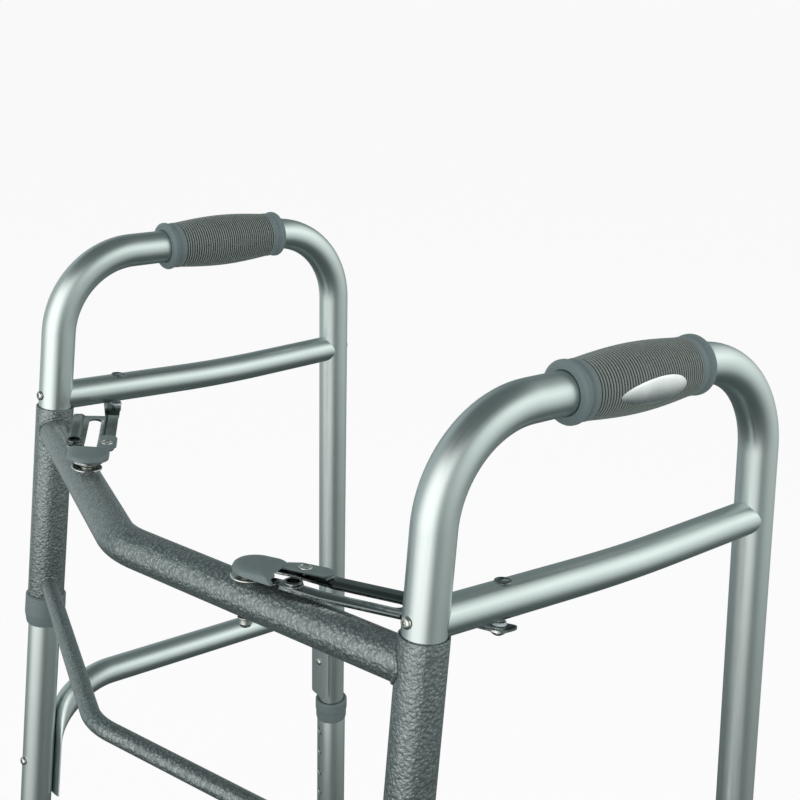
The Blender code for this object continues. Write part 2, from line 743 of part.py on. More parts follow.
def make_crossbars(shop, left, right):
    left_plane = side_matrix(LEFT)
    right_plane = side_matrix(RIGHT)
    left_end, middle = crossbar_line(left_plane)
    right_end = crossbar_line(right_plane)[0]
    path = rounded_path([left_end, middle, right_end], [CROSSBAR_BEND], 3)
    bar = hollow_tube(shop, "crossbar", path, CROSSBAR_RADIUS, CROSSBAR_WALL, "hammered_paint", None)
    low_middle = Vector(
        (0.0, SLEEVE_TOP_Y - LOWER_BAR_REACH, SLEEVE_TOP_HEIGHT - LOWER_BAR_MIDDLE_DROP)
    )
    ends = [plane @ front_leg(-LOWER_BAR_DROP) for plane in (left_plane, right_plane)]
    low_path = rounded_path([ends[0], low_middle, ends[1]], [LOWER_BAR_BEND], 4)
    rod = swept_mesh(low_path, LOWER_BAR_RADIUS, 10)
    low_bar = shop.piece("lower_bar", rod, "hammered_paint")
    cope = SLEEVE_RADIUS + RUNNING_GAP
    for side in (left, right):
        coper = leg_cutter(shop, side.name + "_bar_cope", side.fold, cope, -0.2, 0.02)
        cut(bar, coper, side.name + "_cope")
        cut(low_bar, coper, side.name + "_cope")
        hole = rod_mesh(STUD_SHANK_RADIUS + RUNNING_GAP, side.crown - 2 * CROSSBAR_OD, side.crown + 0.01, 10)
        place = Matrix.Translation(side.stud_plan)
        cut(bar, shop.cutter(side.name + "_stud_hole", hole, side.fold, place), side.name + "_stud")


def make_stud(shop, side):
    """Washer and through bolt on the crossbar, with its nut below the bar."""
    seat = side.crown + RUNNING_GAP
    top = seat + STUD_WASHER_HEIGHT
    under = side.crown - CROSSBAR_OD - RUNNING_GAP
    profile = [
        (0.0, top),
        (STUD_WASHER_RADIUS - 0.0005, top),
        (STUD_WASHER_RADIUS, top - 0.0005),
        (STUD_WASHER_RADIUS, seat),
        (STUD_SHANK_RADIUS, seat),
        (STUD_SHANK_RADIUS, under),
        (0.0055, under),
        (0.0055, under - 0.0050),
        (0.0040, under - 0.0070),
        (0.0, under - 0.0070),
    ]
    place = Matrix.Translation(side.stud_plan)
    mesh = turned_mesh(profile, SMALL_STEPS)
    shop.piece(side.name + "_crossbar_stud", mesh, "bright_steel", side.fold, place)


def arm_section(raised):
    """Cross-section of the pressed channel as (lateral, height) points over the floor's underside.

    Raised runs from 0, a flat plate, to 1, two hollow rails with turned-down outer edges.
    """
    sheet = ARM_SHEET
    rise = RAIL_HEIGHT * raised
    wide = ARM_WIDTH / 2 + 0.0015
    top = [
        (-wide, sheet + rise * 0.8),
        (-0.0160, sheet + rise),
        (-0.0103, sheet + rise),
        (-0.0085, sheet),
        (0.0075, sheet),
        (0.0093, sheet + rise),
        (0.0160, sheet + rise),
        (wide, sheet + rise * 0.8),
    ]
    under = [
        (wide, 0.0),
        (0.0152, 0.0),
        (0.0149, rise),
        (0.0102, rise),
        (0.0084, 0.0),
        (-0.0094, 0.0),
        (-0.0111, rise),
        (-0.0149, rise),
        (-0.0152, 0.0),
        (-wide, 0.0),
    ]
    return top + under


def make_arm(shop, side):
    """Pressed channel arm: two raised rails, a slot between them and three levels along it."""
    lower = side.arm_lower_level()
    end = side.pivot_along + 0.022
    stations = [
        (-TONGUE_OVERHANG - 0.004, ARM_UPPER_LEVEL, 0.0),
        (RAIL_START, ARM_UPPER_LEVEL, 0.0),
        (RAIL_START + 0.003, ARM_UPPER_LEVEL, 1.0),
        (RAMP_START, ARM_UPPER_LEVEL, 1.0),
        (RAMP_END, ARM_MIDDLE_LEVEL, 1.0),
        (DROP_START, ARM_MIDDLE_LEVEL, 1.0),
        (DROP_END, lower, 0.6),
        (DROP_END + 0.008, lower, 0.0),
        (end, lower, 0.0),
    ]
    solid = bmesh.new()
    rings = []
    for along, level, raised in stations:
        ring = []
        for lateral, height in arm_section(raised):
            x, y = side.on_arm(along, lateral)
            ring.append(solid.verts.new((x, y, level + height)))
        rings.append(ring)
    count = len(rings[0])
    for near, far in zip(rings, rings[1:]):
        for index in range(count):
            after = (index + 1) % count
            solid.faces.new((near[index], near[after], far[after], far[index]))
    solid.faces.new(reversed(rings[0]))
    solid.faces.new(rings[-1])
    bmesh.ops.connect_verts_nonplanar(solid, angle_limit=0.001, faces=solid.faces)
    bmesh.ops.recalc_face_normals(solid, faces=solid.faces)
    mesh = bpy.data.meshes.new("arm")
    solid.to_mesh(mesh)
    solid.free()
    arm = shop.piece(side.name + "_arm", mesh, "arm_steel", side.arm, smooth=False)

    blank = arm_blank(side)
    trim = shop.cutter(side.name + "_arm_blank", outline_mesh(blank, lower - 0.02, ARM_UPPER_LEVEL + 0.03), side.arm)
    keep = arm.modifiers.new("blank", "BOOLEAN")
    keep.operation = "INTERSECT"
    keep.solver = "EXACT"
    keep.object = trim
    slot_half = SLOT_WIDTH / 2
    slot = []
    for x, y in arc_points((SLOT_END - slot_half, 0.0), slot_half, -90, 90, 4):
        slot.append(side.on_arm(x, y))
    for x, y in arc_points((SLOT_START + slot_half, 0.0), slot_half, 90, 270, 4):
        slot.append(side.on_arm(x, y))
    slot_mesh = outline_mesh(slot, lower - 0.02, ARM_UPPER_LEVEL + 0.03)
    collar = shop.cutter(side.name + "_stud_collar", stud_collar_mesh(), side.arm)
    collar.matrix_local = Matrix.Translation((*side.on_arm(0.0, 0.0), 0.0))
    join(arm, collar, "collar")
    cut(arm, shop.cutter(side.name + "_slot", slot_mesh, side.arm), "slot")
    pivot_hole = rod_mesh(PIVOT_SHANK_RADIUS + RUNNING_GAP, lower - 0.01, lower + 0.01, 10)
    cut(arm, shop.cutter(side.name + "_arm_pivot_hole", pivot_hole, side.arm), "pivot")
    rivet_hole = rod_mesh(RIVET_SHANK_RADIUS + RUNNING_GAP, -0.01, 0.02, 8)
    place = Matrix.Translation((*side.on_arm(PADDLE_HINGE_ALONG, RIVET_LATERAL), 0.0))
    cut(arm, shop.cutter(side.name + "_rivet_hole", rivet_hole, side.arm, place), "rivet")
    eyelet_hole = rod_mesh(EYELET_BARREL_RADIUS + RUNNING_GAP, -0.01, 0.02, 8)
    place = Matrix.Translation((*side.on_arm(EYELET_ALONG, EYELET_LATERAL), 0.0))
    cut(arm, shop.cutter(side.name + "_eyelet_hole", eyelet_hole, side.arm, place), "eyelet")
    return arm


def stud_collar_mesh():
    """Two thick rings under the tongue that the stud turns in when the walker is open."""
    bottom = ARM_MIDDLE_LEVEL
    top = ARM_UPPER_LEVEL + ARM_SHEET / 2
    radius = TONGUE_WIDTH / 2 - 0.0004
    groove = bottom + (ARM_UPPER_LEVEL - bottom) * 0.5
    profile = [
        (0.0, top),
        (radius, top),
        (radius, groove + 0.0004),
        (radius - 0.0010, groove),
        (radius, groove - 0.0004),
        (radius, bottom),
        (0.0, bottom),
    ]
    return turned_mesh(profile, SMALL_STEPS)


def arm_blank(side):
    """Plan outline of the arm: round tongue, full width and an end cut parallel to the brace.

    The front half of the low end is cut back so that it passes behind the crossbar when the side is folded.
    """
    tongue = TONGUE_WIDTH / 2
    half = ARM_WIDTH / 2
    points = arc_points((0.0, 0.0), tongue, 90, 270, 6)
    points += [(RAIL_START - 0.002, -tongue), (RAIL_START + 0.004, -half)]
    pivot = Vector((side.pivot_along, ARM_PIVOT_OFFSET))
    brace = math.pi / 2 - side.sign * (side.slot_angle - math.pi * (side.sign < 0))
    direction = Vector((math.cos(brace), math.sin(brace)))
    outward = Vector((direction.y, -direction.x))
    edge = pivot + outward * END_PLATE_EDGE
    relief = pivot - Vector((0.0, PIVOT_LUG))
    slope = Vector((1.0, -RELIEF_SLOPE))
    start = relief + slope * (DROP_START + 0.002 - relief.x)
    reach = cross_length(relief, slope, edge, direction)
    low = relief + slope * reach
    high = edge + direction * ((half - edge.y) / direction.y)
    corner = END_PLATE_CORNER
    points += [(DROP_START - 0.004, -half), (DROP_START + 0.001, -half + 0.004), (start.x, start.y - 0.003)]
    points.append((start.x + 0.003, start.y - 0.003 * RELIEF_SLOPE))
    before_low = low - slope.normalized() * corner
    after_low = low + direction * corner
    before_high = high - direction * corner
    after_high = Vector((high.x - corner, high.y))
    for begin, middle, stop in ((before_low, low, after_low), (before_high, high, after_high)):
        for step in range(4):
            share = step / 3
            bend = begin * (1 - share) ** 2 + middle * (2 * share * (1 - share)) + stop * share**2
            points.append((bend.x, bend.y))
    points += [(RAIL_START + 0.004, half), (RAIL_START - 0.002, tongue)]
    return [side.on_arm(x, y) for x, y in points]


def cross_length(start, direction, other, other_direction):
    """How far along the first line, in its own lengths, the second line crosses it."""
    gap = other - start
    turn = direction.x * other_direction.y - direction.y * other_direction.x
    return (gap.x * other_direction.y - gap.y * other_direction.x) / turn


def make_pivot(shop, side):
    """Bolt through the brace, the spacer and the arm's end plate."""
    place = Matrix.Translation(side.pivot_plan)
    seat = side.brace_height + BRACE_RADIUS + RUNNING_GAP
    tail = side.arm_lower_level() - RUNNING_GAP
    shank = PIVOT_SHANK_RADIUS
    profile = [
        (0.0, seat + 0.0024),
        (0.0042, seat + 0.0024),
        (0.0066, seat + 0.0012),
        (0.0066, seat),
        (shank, seat),
        (shank, tail),
        (0.0050, tail),
        (0.0050, tail - 0.0040),
        (0.0, tail - 0.0052),
    ]
    mesh = turned_mesh(profile, SMALL_STEPS)
    shop.piece(side.name + "_pivot_bolt", mesh, "bright_steel", side.fold, place)

    high = side.brace_underside - RUNNING_GAP
    low = high - PIVOT_SPACER_HEIGHT
    bore = shank + RUNNING_GAP
    spacer = [
        (bore, high),
        (0.0055, high),
        (0.0048, high - 0.0015),
        (0.0060, high - 0.0018),
        (0.0060, low),
        (bore, low),
    ]
    mesh = turned_mesh(spacer, SMALL_STEPS, ring=True)
    shop.piece(side.name + "_pivot_spacer", mesh, "pale_nylon", side.fold, place)


def make_slot_stud(shop, side):
    """Headed stud that runs in the slot."""
    floor = ARM_UPPER_LEVEL + ARM_SHEET
    low = ARM_MIDDLE_LEVEL - RUNNING_GAP / 3
    head = floor + SLOT_HEAD_LIFT
    profile = [
        (0.0, head + SLOT_HEAD_HEIGHT),
        (SLOT_HEAD_RADIUS - 0.0012, head + SLOT_HEAD_HEIGHT),
        (SLOT_HEAD_RADIUS, head + SLOT_HEAD_HEIGHT - 0.0012),
        (SLOT_HEAD_RADIUS, head),
        (SLOT_NECK_RADIUS, head),
        (SLOT_NECK_RADIUS, low),
        (0.0, low),
    ]
    place = Matrix.Translation((*side.on_arm(0.0, 0.0), 0.0))
    shop.piece(side.name + "_slot_stud", turned_mesh(profile, SMALL_STEPS), "bright_steel", side.arm, place)


def pad_outline(side, inset):
    radius = PAD_RADIUS - inset
    end = PAD_END - inset
    points = [side.on_paddle(x, y) for x, y in arc_points((0.0, 0.0), radius, 90, 270, 8)]
    points += [side.on_paddle(end, -radius), side.on_paddle(end, radius)]
    return points


def lever_outline(side):
    """The lever along the rear rail, from inside the pad to its round nose."""
    nose = (PADDLE_HINGE_ALONG + 0.0085, (LEVER_INNER + LEVER_OUTER) / 2 + 0.0005)
    start = PAD_END - PAD_WALL - 0.001
    points = [(start, LEVER_INNER), (nose[0] - 0.006, LEVER_INNER)]
    points += arc_points(nose, LEVER_NOSE_RADIUS - 0.0018, -75, 90, 6)
    points += [(start + 0.008, nose[1] + LEVER_NOSE_RADIUS - 0.0018), (start, PAD_RADIUS - 0.0006)]
    return [side.on_paddle(x, y) for x, y in points]


def make_paddle(shop, side):
    """Release paddle: a hollow pad over the stud with a flat lever beside it."""
    zero = -LEVER_TOP
    top = zero + PAD_TOP
    outer = outline_mesh(pad_outline(side, 0.0), zero + PAD_RIM, top)
    paddle = shop.piece(side.name + "_release_paddle", outer, "grey_plastic", side.hinge)
    edge = paddle.modifiers.new("soft_edges", "BEVEL")
    edge.width = 0.0018
    edge.segments = 1
    edge.limit_method = "ANGLE"
    edge.angle_limit = math.radians(50)
    hollow = outline_mesh(pad_outline(side, PAD_WALL), zero - 0.005, zero + PAD_CEILING)
    cut(paddle, shop.cutter(side.name + "_pad_hollow", hollow, side.hinge), "hollow")
    lever = outline_mesh(lever_outline(side), zero + LEVER_BOTTOM, zero + LEVER_TOP)
    join(paddle, shop.cutter(side.name + "_lever", lever, side.hinge), "lever")
    half = SLOT_HEAD_RADIUS + 0.0007
    low = side.on_paddle(PAD_END - 0.006, -half)
    high = side.on_paddle(PAD_END + 0.006, half)
    exit_box = box_mesh(
        (low[0], min(low[1], high[1]), zero - 0.01),
        (high[0], max(low[1], high[1]), zero + SLOT_HEAD_LIFT + SLOT_HEAD_HEIGHT + 0.0012),
    )
    cut(paddle, shop.cutter(side.name + "_pad_exit", exit_box, side.hinge), "exit")
    low = side.on_paddle(PAD_END - 0.008, -PAD_RADIUS - 0.01)
    high = side.on_paddle(PAD_END + 0.006, PAD_RADIUS + 0.01)
    rim_box = box_mesh(
        (low[0], min(low[1], high[1]), zero - 0.01),
        (high[0], max(low[1], high[1]), zero + 0.0026),
    )
    cut(paddle, shop.cutter(side.name + "_pad_rim", rim_box, side.hinge), "rim")
    hole = rod_mesh(LEVER_HOLE_RADIUS, zero - 0.01, top + 0.01, 12)
    place = Matrix.Translation((*side.on_paddle(PADDLE_HINGE_ALONG, RIVET_LATERAL), 0.0))
    cut(paddle, shop.cutter(side.name + "_lever_hole", hole, side.hinge, place), "rivet_hole")
    return paddle


def make_arm_hardware(shop, side):
    """The rivet that holds the lever to the rear rail, and the eyelet on the front rail."""
    rail_top = ARM_UPPER_LEVEL + ARM_SHEET + RAIL_HEIGHT
    drop = (ARM_UPPER_LEVEL - ARM_MIDDLE_LEVEL) * (PADDLE_HINGE_ALONG - RAMP_START) / (RAMP_END - RAMP_START)
    lever_top = ARM_UPPER_LEVEL + ARM_SHEET + LEVER_TOP
    head = lever_top + 2 * RUNNING_GAP
    under = rail_top - drop - ARM_SHEET - 0.0012
    profile = [
        (0.0, head + 0.0012),
        (RIVET_HEAD_RADIUS - 0.0012, head + 0.0012),
        (RIVET_HEAD_RADIUS, head + 0.0004),
        (RIVET_HEAD_RADIUS, head),
        (RIVET_SHANK_RADIUS, head),
        (RIVET_SHANK_RADIUS, under),
        (0.0, under),
    ]
    place = Matrix.Translation((*side.on_arm(PADDLE_HINGE_ALONG, RIVET_LATERAL), 0.0))
    shop.piece(side.name + "_paddle_rivet", turned_mesh(profile, SMALL_STEPS), "bright_steel", side.arm, place)

    drop = (ARM_UPPER_LEVEL - ARM_MIDDLE_LEVEL) * (EYELET_ALONG - RAMP_START) / (RAMP_END - RAMP_START)
    seat = rail_top - drop + 0.0009
    low = rail_top - drop - ARM_SHEET - 0.0012
    bore = EYELET_BORE_RADIUS
    barrel = EYELET_BARREL_RADIUS
    profile = [
        (bore, seat + 0.0010),
        (EYELET_RADIUS * 0.6, seat + 0.0028),
        (EYELET_RADIUS, seat + 0.0022),
        (EYELET_RADIUS, seat),
        (barrel, seat),
        (barrel, low),
        (bore, low),
    ]
    place = Matrix.Translation((*side.on_arm(EYELET_ALONG, EYELET_LATERAL), 0.0))
    shop.piece(side.name + "_arm_eyelet", turned_mesh(profile, 10, ring=True), "bright_steel", side.arm, place)


def extension_holes(shop, obj, side, axes, end, stretch):
    """The row of adjustment holes down the front of an extension."""
    rod = rod_mesh(HOLE_RADIUS, 0.0, LEG_OD, 6)
    for index in range(HOLE_COUNT):
        drop = (FIRST_HOLE_DROP + index * HOLE_PITCH) * stretch
        place = axis_along((0, -1, 0), Vector((0.0, 0.0, -drop)))
        cut(obj, shop.cutter(f"{side.name}_{end}_hole_{index + 1}", rod, axes, place), f"hole_{index + 1}")


def collar_profile(stretch):
    """Two-step ring that caps the top of an extension and guides the leg tube."""
    top = -(EXTENSION_TOP - 0.004) * stretch
    seat = -EXTENSION_TOP * stretch + RUNNING_GAP
    radius = EXTENSION_COLLAR_OD / 2
    step = top - EXTENSION_COLLAR_LENGTH * 0.5
    bottom = top - EXTENSION_COLLAR_LENGTH
    skirt = EXTENSION_RADIUS + BORE_GAP
    return [
        (SLIDE_BORE, top),
        (radius - 0.0006, top),
        (radius, top - 0.001),
        (radius, step),
        (radius - 0.0007, step - 0.0005),
        (radius - 0.0007, bottom),
        (skirt, bottom),
        (skirt, seat),
        (SLIDE_BORE, seat),
    ]


def make_button(shop, side, end, axes, drop):
    """Snap button with the flat end of its spring inside the leg tube."""
    inner = LEG_RADIUS - LEG_WALL - 0.0012
    face = EXTENSION_RADIUS + BUTTON_PROUD
    head = [
        (0.0, face),
        (BUTTON_RADIUS - 0.0012, face),
        (BUTTON_RADIUS, face - 0.0014),
        (BUTTON_RADIUS, inner - 0.002),
        (0.0, inner - 0.002),
    ]
    place = axis_along((0, -1, 0), Vector((0.0, 0.0, -drop)))
    button = shop.piece(
        f"{side.name}_{end}_button", turned_mesh(head, 12), "bright_steel", axes, place
    )
    strip = box_mesh((-0.0045, -0.0045, inner - 0.0032), (0.0045, 0.0300, inner - 0.0018))
    join(button, shop.cutter(f"{side.name}_{end}_button_leaf", strip, axes, place), "leaf")
    return button


def make_rear_leg(shop, side):
    foot = side.rear_world
    up = Vector(foot.col[2][:3])
    origin = Vector(foot.col[3][:3])
    to_floor = origin.z / up.z
    end = to_floor - TIP_FLOOR - 0.0005
    profile = [
        (SLIDE_BORE, -EXTENSION_TOP * REAR_STRETCH),
        (EXTENSION_RADIUS, -EXTENSION_TOP * REAR_STRETCH),
        (EXTENSION_RADIUS, -end),
        (SLIDE_BORE, -end),
    ]
    extension = shop.piece(
        side.name + "_rear_extension", turned_mesh(profile, ring=True), "silver_tube", side.rear
    )
    extension_holes(shop, extension, side, side.rear, "rear", REAR_STRETCH)
    collar = turned_mesh(collar_profile(REAR_STRETCH), ring=True)
    shop.piece(side.name + "_rear_collar", collar, "grey_plastic", side.rear)
    make_button(shop, side, "rear", side.rear, BUTTON_DROP * REAR_STRETCH)

    bore = EXTENSION_RADIUS + BORE_GAP
    floor = -to_floor
    top = floor + TIP_HEIGHT
    tip = [
        (bore, top),
        (TIP_CUP_RADIUS - 0.001, top),
        (TIP_CUP_RADIUS, top - 0.001),
        (TIP_CUP_RADIUS, top - 0.006),
        (TIP_CUP_RADIUS - 0.0008, top - 0.007),
        (TIP_CUP_RADIUS - 0.0008, floor + 0.020),
        (TIP_RADIUS - 0.001, floor + 0.010),
        (TIP_RADIUS, floor + 0.007),
        (TIP_RADIUS, floor - 0.004),
        (0.0, floor - 0.004),
        (0.0, floor + TIP_FLOOR),
        (bore, floor + TIP_FLOOR),
    ]
    rubber = shop.piece(side.name + "_rubber_tip", turned_mesh(tip, ring=True), "tip_rubber", side.rear)
    ground = box_mesh((-0.5, -0.5, -0.1), (0.5, 0.6, 0.0))
    cut(rubber, shop.cutter(side.name + "_ground", ground), "ground")


def make_front_leg(shop, side):
    up = Vector(side.fold_world.col[2][:3])
    origin = Vector(side.fold_world.col[3][:3])
    axle_drop = (origin.z - WHEEL_RADIUS) / up.z
    end = axle_drop + FRONT_END_BELOW_AXLE
    inner = SLIDE_BORE
    profile = [
        (inner, -EXTENSION_TOP * LEG_STRETCH),
        (EXTENSION_RADIUS, -EXTENSION_TOP * LEG_STRETCH),
        (EXTENSION_RADIUS, -end + 0.004),
        (EXTENSION_RADIUS - 0.004, -end),
        (inner - 0.004, -end),
        (inner, -end + 0.004),
    ]
    extension = shop.piece(
        side.name + "_front_extension", turned_mesh(profile, ring=True), "silver_tube", side.fold
    )
    extension_holes(shop, extension, side, side.fold, "front", LEG_STRETCH)
    collar = turned_mesh(collar_profile(LEG_STRETCH), ring=True)
    shop.piece(side.name + "_front_collar", collar, "grey_plastic", side.fold)
    make_button(shop, side, "front", side.fold, BUTTON_DROP * LEG_STRETCH)

    axle = origin - up * axle_drop
    outward = Vector((float(side.sign), 0.0, 0.0))
    seat = EXTENSION_RADIUS / math.cos(SIDE_LEAN) + 0.0012
    hole = rod_mesh(AXLE_RADIUS + RUNNING_GAP, -LEG_OD, LEG_OD, 12)
    cut(extension, shop.cutter(side.name + "_axle_hole", hole, None, axis_along(outward, axle)), "axle")
    wheel = shop.empty(side.name + "_wheel_axis", None, axis_along(outward, axle))
    make_wheel(shop, side, wheel, seat)
    return axle


def make_wheel(shop, side, wheel, seat):
    """Tyre, spoked hub and axle bolt on the outer side of the leg. Z is the wheel's axis."""
    hub_inner = seat + 0.0035
    middle = hub_inner + TYRE_WIDTH / 2 + 0.001
    half = TYRE_WIDTH / 2
    shoulder = WHEEL_RADIUS - 0.0025
    tyre_bore = (HUB_RIM_RADIUS + RUNNING_GAP) / math.cos(math.pi / TYRE_STEPS)
    tyre = [
        (tyre_bore, middle + half * 0.8),
        (shoulder - 0.002, middle + half),
        (WHEEL_RADIUS, middle + half * 0.45),
        (WHEEL_RADIUS, middle - half * 0.45),
        (shoulder - 0.002, middle - half),
        (tyre_bore, middle - half * 0.8),
    ]
    shop.piece(side.name + "_tyre", turned_mesh(tyre, TYRE_STEPS, ring=True), "tyre_rubber", wheel)

    rim_inner = HUB_RIM_RADIUS - 0.004
    boss = 0.0125
    bore = AXLE_RADIUS + RUNNING_GAP
    boss_half = half + 0.001
    web = 0.0022
    hub = [
        (bore, middle + boss_half),
        (boss - 0.0015, middle + boss_half),
        (boss, middle + web),
        (rim_inner - 0.001, middle + web),
        (rim_inner, middle + half * 0.7),
        (HUB_RIM_RADIUS, middle + half * 0.7),
        (HUB_RIM_RADIUS, middle - half * 0.7),
        (rim_inner, middle - half * 0.7),
        (rim_inner - 0.001, middle - web),
        (boss, middle - web),
        (boss - 0.0015, middle - boss_half),
        (0.0080, seat + RUNNING_GAP),
        (bore, seat + RUNNING_GAP),
    ]
    wheel_hub = shop.piece(side.name + "_wheel_hub", turned_mesh(hub, HUB_STEPS, ring=True), "wheel_plastic", wheel)
    window_count = 5
    window_radius = 0.0098
    ring_radius = (rim_inner + boss) / 2 + 0.0005
    window = rod_mesh(window_radius, middle - 0.01, middle + 0.01, 6)
    for index in range(window_count):
        angle = 2 * math.pi * index / window_count
        place = Matrix.Translation((ring_radius * math.cos(angle), ring_radius * math.sin(angle), 0.0))
        cut(wheel_hub, shop.cutter(f"{side.name}_window_{index + 1}", window, wheel, place), f"window_{index + 1}")

    outer = middle + boss_half + RUNNING_GAP
    inner = -seat - 0.0005
    axle = [
        (0.0, outer + 0.0042),
        (0.0048, outer + 0.0042),
        (0.0068, outer + 0.0026),
        (0.0068, outer),
        (AXLE_RADIUS, outer),
        (AXLE_RADIUS, inner - 0.008),
        (0.0, inner - 0.008),
    ]
    shop.piece(side.name + "_axle_bolt", turned_mesh(axle, SMALL_STEPS), "bright_steel", wheel)
    nut_bore = (AXLE_RADIUS + RUNNING_GAP) / math.cos(math.pi / 6)
    nut = ring_mesh(0.0078, nut_bore, inner - 0.0065, inner, 6)
    nut_piece = shop.piece(side.name + "_axle_nut", nut, "bright_steel", wheel, smooth=False)
    face = shop.cutter(side.name + "_nut_seat", rod_mesh(EXTENSION_RADIUS + RUNNING_GAP, -0.7, -0.3, 24), side.fold)
    cut(nut_piece, face, "seat")


def make_side(shop, side):
    make_side_tube(shop, side)
    make_upper_brace(shop, side)
    make_lower_brace(shop, side)
    make_side_fasteners(shop, side)
    make_grip(shop, side)
    make_sleeve(shop, side)
    make_stud(shop, side)
    make_arm(shop, side)
    make_pivot(shop, side)
    make_slot_stud(shop, side)
    make_paddle(shop, side)
    make_arm_hardware(shop, side)
    make_rear_leg(shop, side)
    return make_front_leg(shop, side)


def main():
    clear_scene()
    shop = Workshop()
    left = Side(shop, LEFT)
    right = Side(shop, RIGHT)
    make_crossbars(shop, left, right)
    for side in (left, right):
        axle = make_side(shop, side)
        print(side.name, "axle centre", [round(value, 5) for value in axle])
        print(side.name, "slot angle", round(side.slot_angle, 5), "pivot along", round(side.pivot_along, 5))
    bpy.context.view_layer.update()


main()
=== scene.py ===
"""Looks of a folding two-wheeled walker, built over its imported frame.

Every piece is placed in the frame's own metres, on the axes that the frame's joints give, and rides
on the body that carries the real one. Left is +X, the wheels are at -Y and the floor is z = 0.
"""

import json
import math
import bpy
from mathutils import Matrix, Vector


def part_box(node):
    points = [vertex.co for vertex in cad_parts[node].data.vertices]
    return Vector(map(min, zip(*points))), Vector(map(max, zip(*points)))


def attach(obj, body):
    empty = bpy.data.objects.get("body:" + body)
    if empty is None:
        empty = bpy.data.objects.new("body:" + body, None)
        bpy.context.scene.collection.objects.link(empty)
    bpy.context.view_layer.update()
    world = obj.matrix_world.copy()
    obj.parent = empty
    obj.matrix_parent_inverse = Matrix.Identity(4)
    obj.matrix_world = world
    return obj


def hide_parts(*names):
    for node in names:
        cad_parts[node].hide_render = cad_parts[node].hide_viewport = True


bl_info = {
    "name": "Two-wheeled walker",
    "version": (1, 0, 0),
    "blender": (4, 5, 0),
    "location": "View3D > Sidebar > Walker",
    "description": "Builds the tubes, grips, folding arms, wheels and stage of a folding walker",
    "category": "Object",
}

import bmesh
import bpy
from mathutils import Matrix, Vector

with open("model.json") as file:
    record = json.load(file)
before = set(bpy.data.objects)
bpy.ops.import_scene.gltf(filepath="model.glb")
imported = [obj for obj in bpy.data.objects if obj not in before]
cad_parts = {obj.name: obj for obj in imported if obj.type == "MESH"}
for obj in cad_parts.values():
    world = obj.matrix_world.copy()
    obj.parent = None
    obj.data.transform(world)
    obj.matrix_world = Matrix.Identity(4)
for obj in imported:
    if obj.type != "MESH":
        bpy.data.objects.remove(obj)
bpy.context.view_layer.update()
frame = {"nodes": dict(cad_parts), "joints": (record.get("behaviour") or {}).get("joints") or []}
JOINTS = {joint["name"]: joint for joint in frame["joints"]}

MM = 0.001
INCH = 0.0254
STILL = Matrix.Identity(4)
ORIGIN = Vector((0.0, 0.0, 0.0))
AHEAD = Vector((1.0, 0.0, 0.0))
UP = Vector((0.0, 0.0, 1.0))
FRONT = "front_frame"

# Skeleton of the tubes in metres, as in the frame.
SIDE_SPACING = 0.448
SLEEVE_TOP = Vector((0.0, -0.1076, 0.680))
SIDE_TOE_OUT = 0.0271
SIDE_LEAN = 0.0385
FRONT_LEG_RAKE = 0.0806
REAR_LEG_RAKE = 0.0511
LEG_SPREAD = 0.2751
HANDLE_RISE = 0.1171
FRONT_BEND = 0.0635
REAR_BEND = 0.0692
LEG_TUBE_END = 0.590
LEG_R = 0.5 * INCH
LEG_WALL = 1.6 * MM

BRACE_R = 0.4375 * INCH
UPPER_BRACE_FRONT = 0.0077
UPPER_BRACE_KINK = Vector((0.0, 0.1524, 0.0014))
UPPER_BRACE_REAR = 0.0046
UPPER_BRACE_BEND = 1.2
LOWER_BRACE_FRONT = -0.2528
LOWER_BRACE_REAR = -0.2623
LOWER_BRACE_FRONT_END = -0.353
LOWER_BRACE_REAR_END = -0.368
LOWER_BRACE_BEND = 0.052
CUP_HALF_WIDTH = 13.5 * MM
CUP_HALF_DEPTH = 1.8 * MM
CUP_SEAT = 1.6 * MM

SLEEVE_R = 0.5625 * INCH
CROSSBAR_R = 0.5 * INCH
CROSSBAR_DROP = 0.0191
CROSSBAR_MIDDLE = Vector((0.0, -0.0607, -0.0160))
CROSSBAR_BEND = 0.061
LOWER_BAR_R = 0.25 * INCH
LOWER_BAR_DROP = 0.1475
LOWER_BAR_MIDDLE = Vector((0.0, -0.0838, -0.1384))
LOWER_BAR_BEND = 0.050

FIRST_HOLE_DROP = 0.412
HOLE_PITCH = INCH
HOLE_COUNT = 7
BUTTON_DROP = FIRST_HOLE_DROP + (HOLE_COUNT - 1) * HOLE_PITCH
GRIP_START = {1: 0.0938, -1: 0.0968}
GRIP_LENGTH = 0.1085

# Sizes of turned pieces, in millimetres.
SLIDE_BORE = 13.1
SLEEVE_LENGTH = 160.0
EXTENSION_R = SLEEVE_R / MM
HOLE_R = 4.2
BUTTON_R = 3.6
BUTTON_PLAY = 0.2
GAP = 0.3
DRILL_REACH = 30.0

SIDES = {"left": 1, "right": -1}
LEG_STRETCH = math.sqrt(1 + FRONT_LEG_RAKE**2)
REAR_STRETCH = math.sqrt(1 + REAR_LEG_RAKE**2)


# Settings a user would change.


def colour_setting(name, description, default):
    return bpy.props.FloatVectorProperty(
        name=name, description=description, subtype="COLOR", default=default
    )


def length_setting(name, description, default):
    return bpy.props.FloatProperty(
        name=name, description=description, default=default, subtype="DISTANCE", unit="LENGTH"
    )


def share_setting(name, description, default):
    return bpy.props.FloatProperty(name=name, description=description, default=default, subtype="FACTOR")


def power_setting(name, description, default):
    return bpy.props.FloatProperty(name=name, description=description, default=default, unit="POWER")


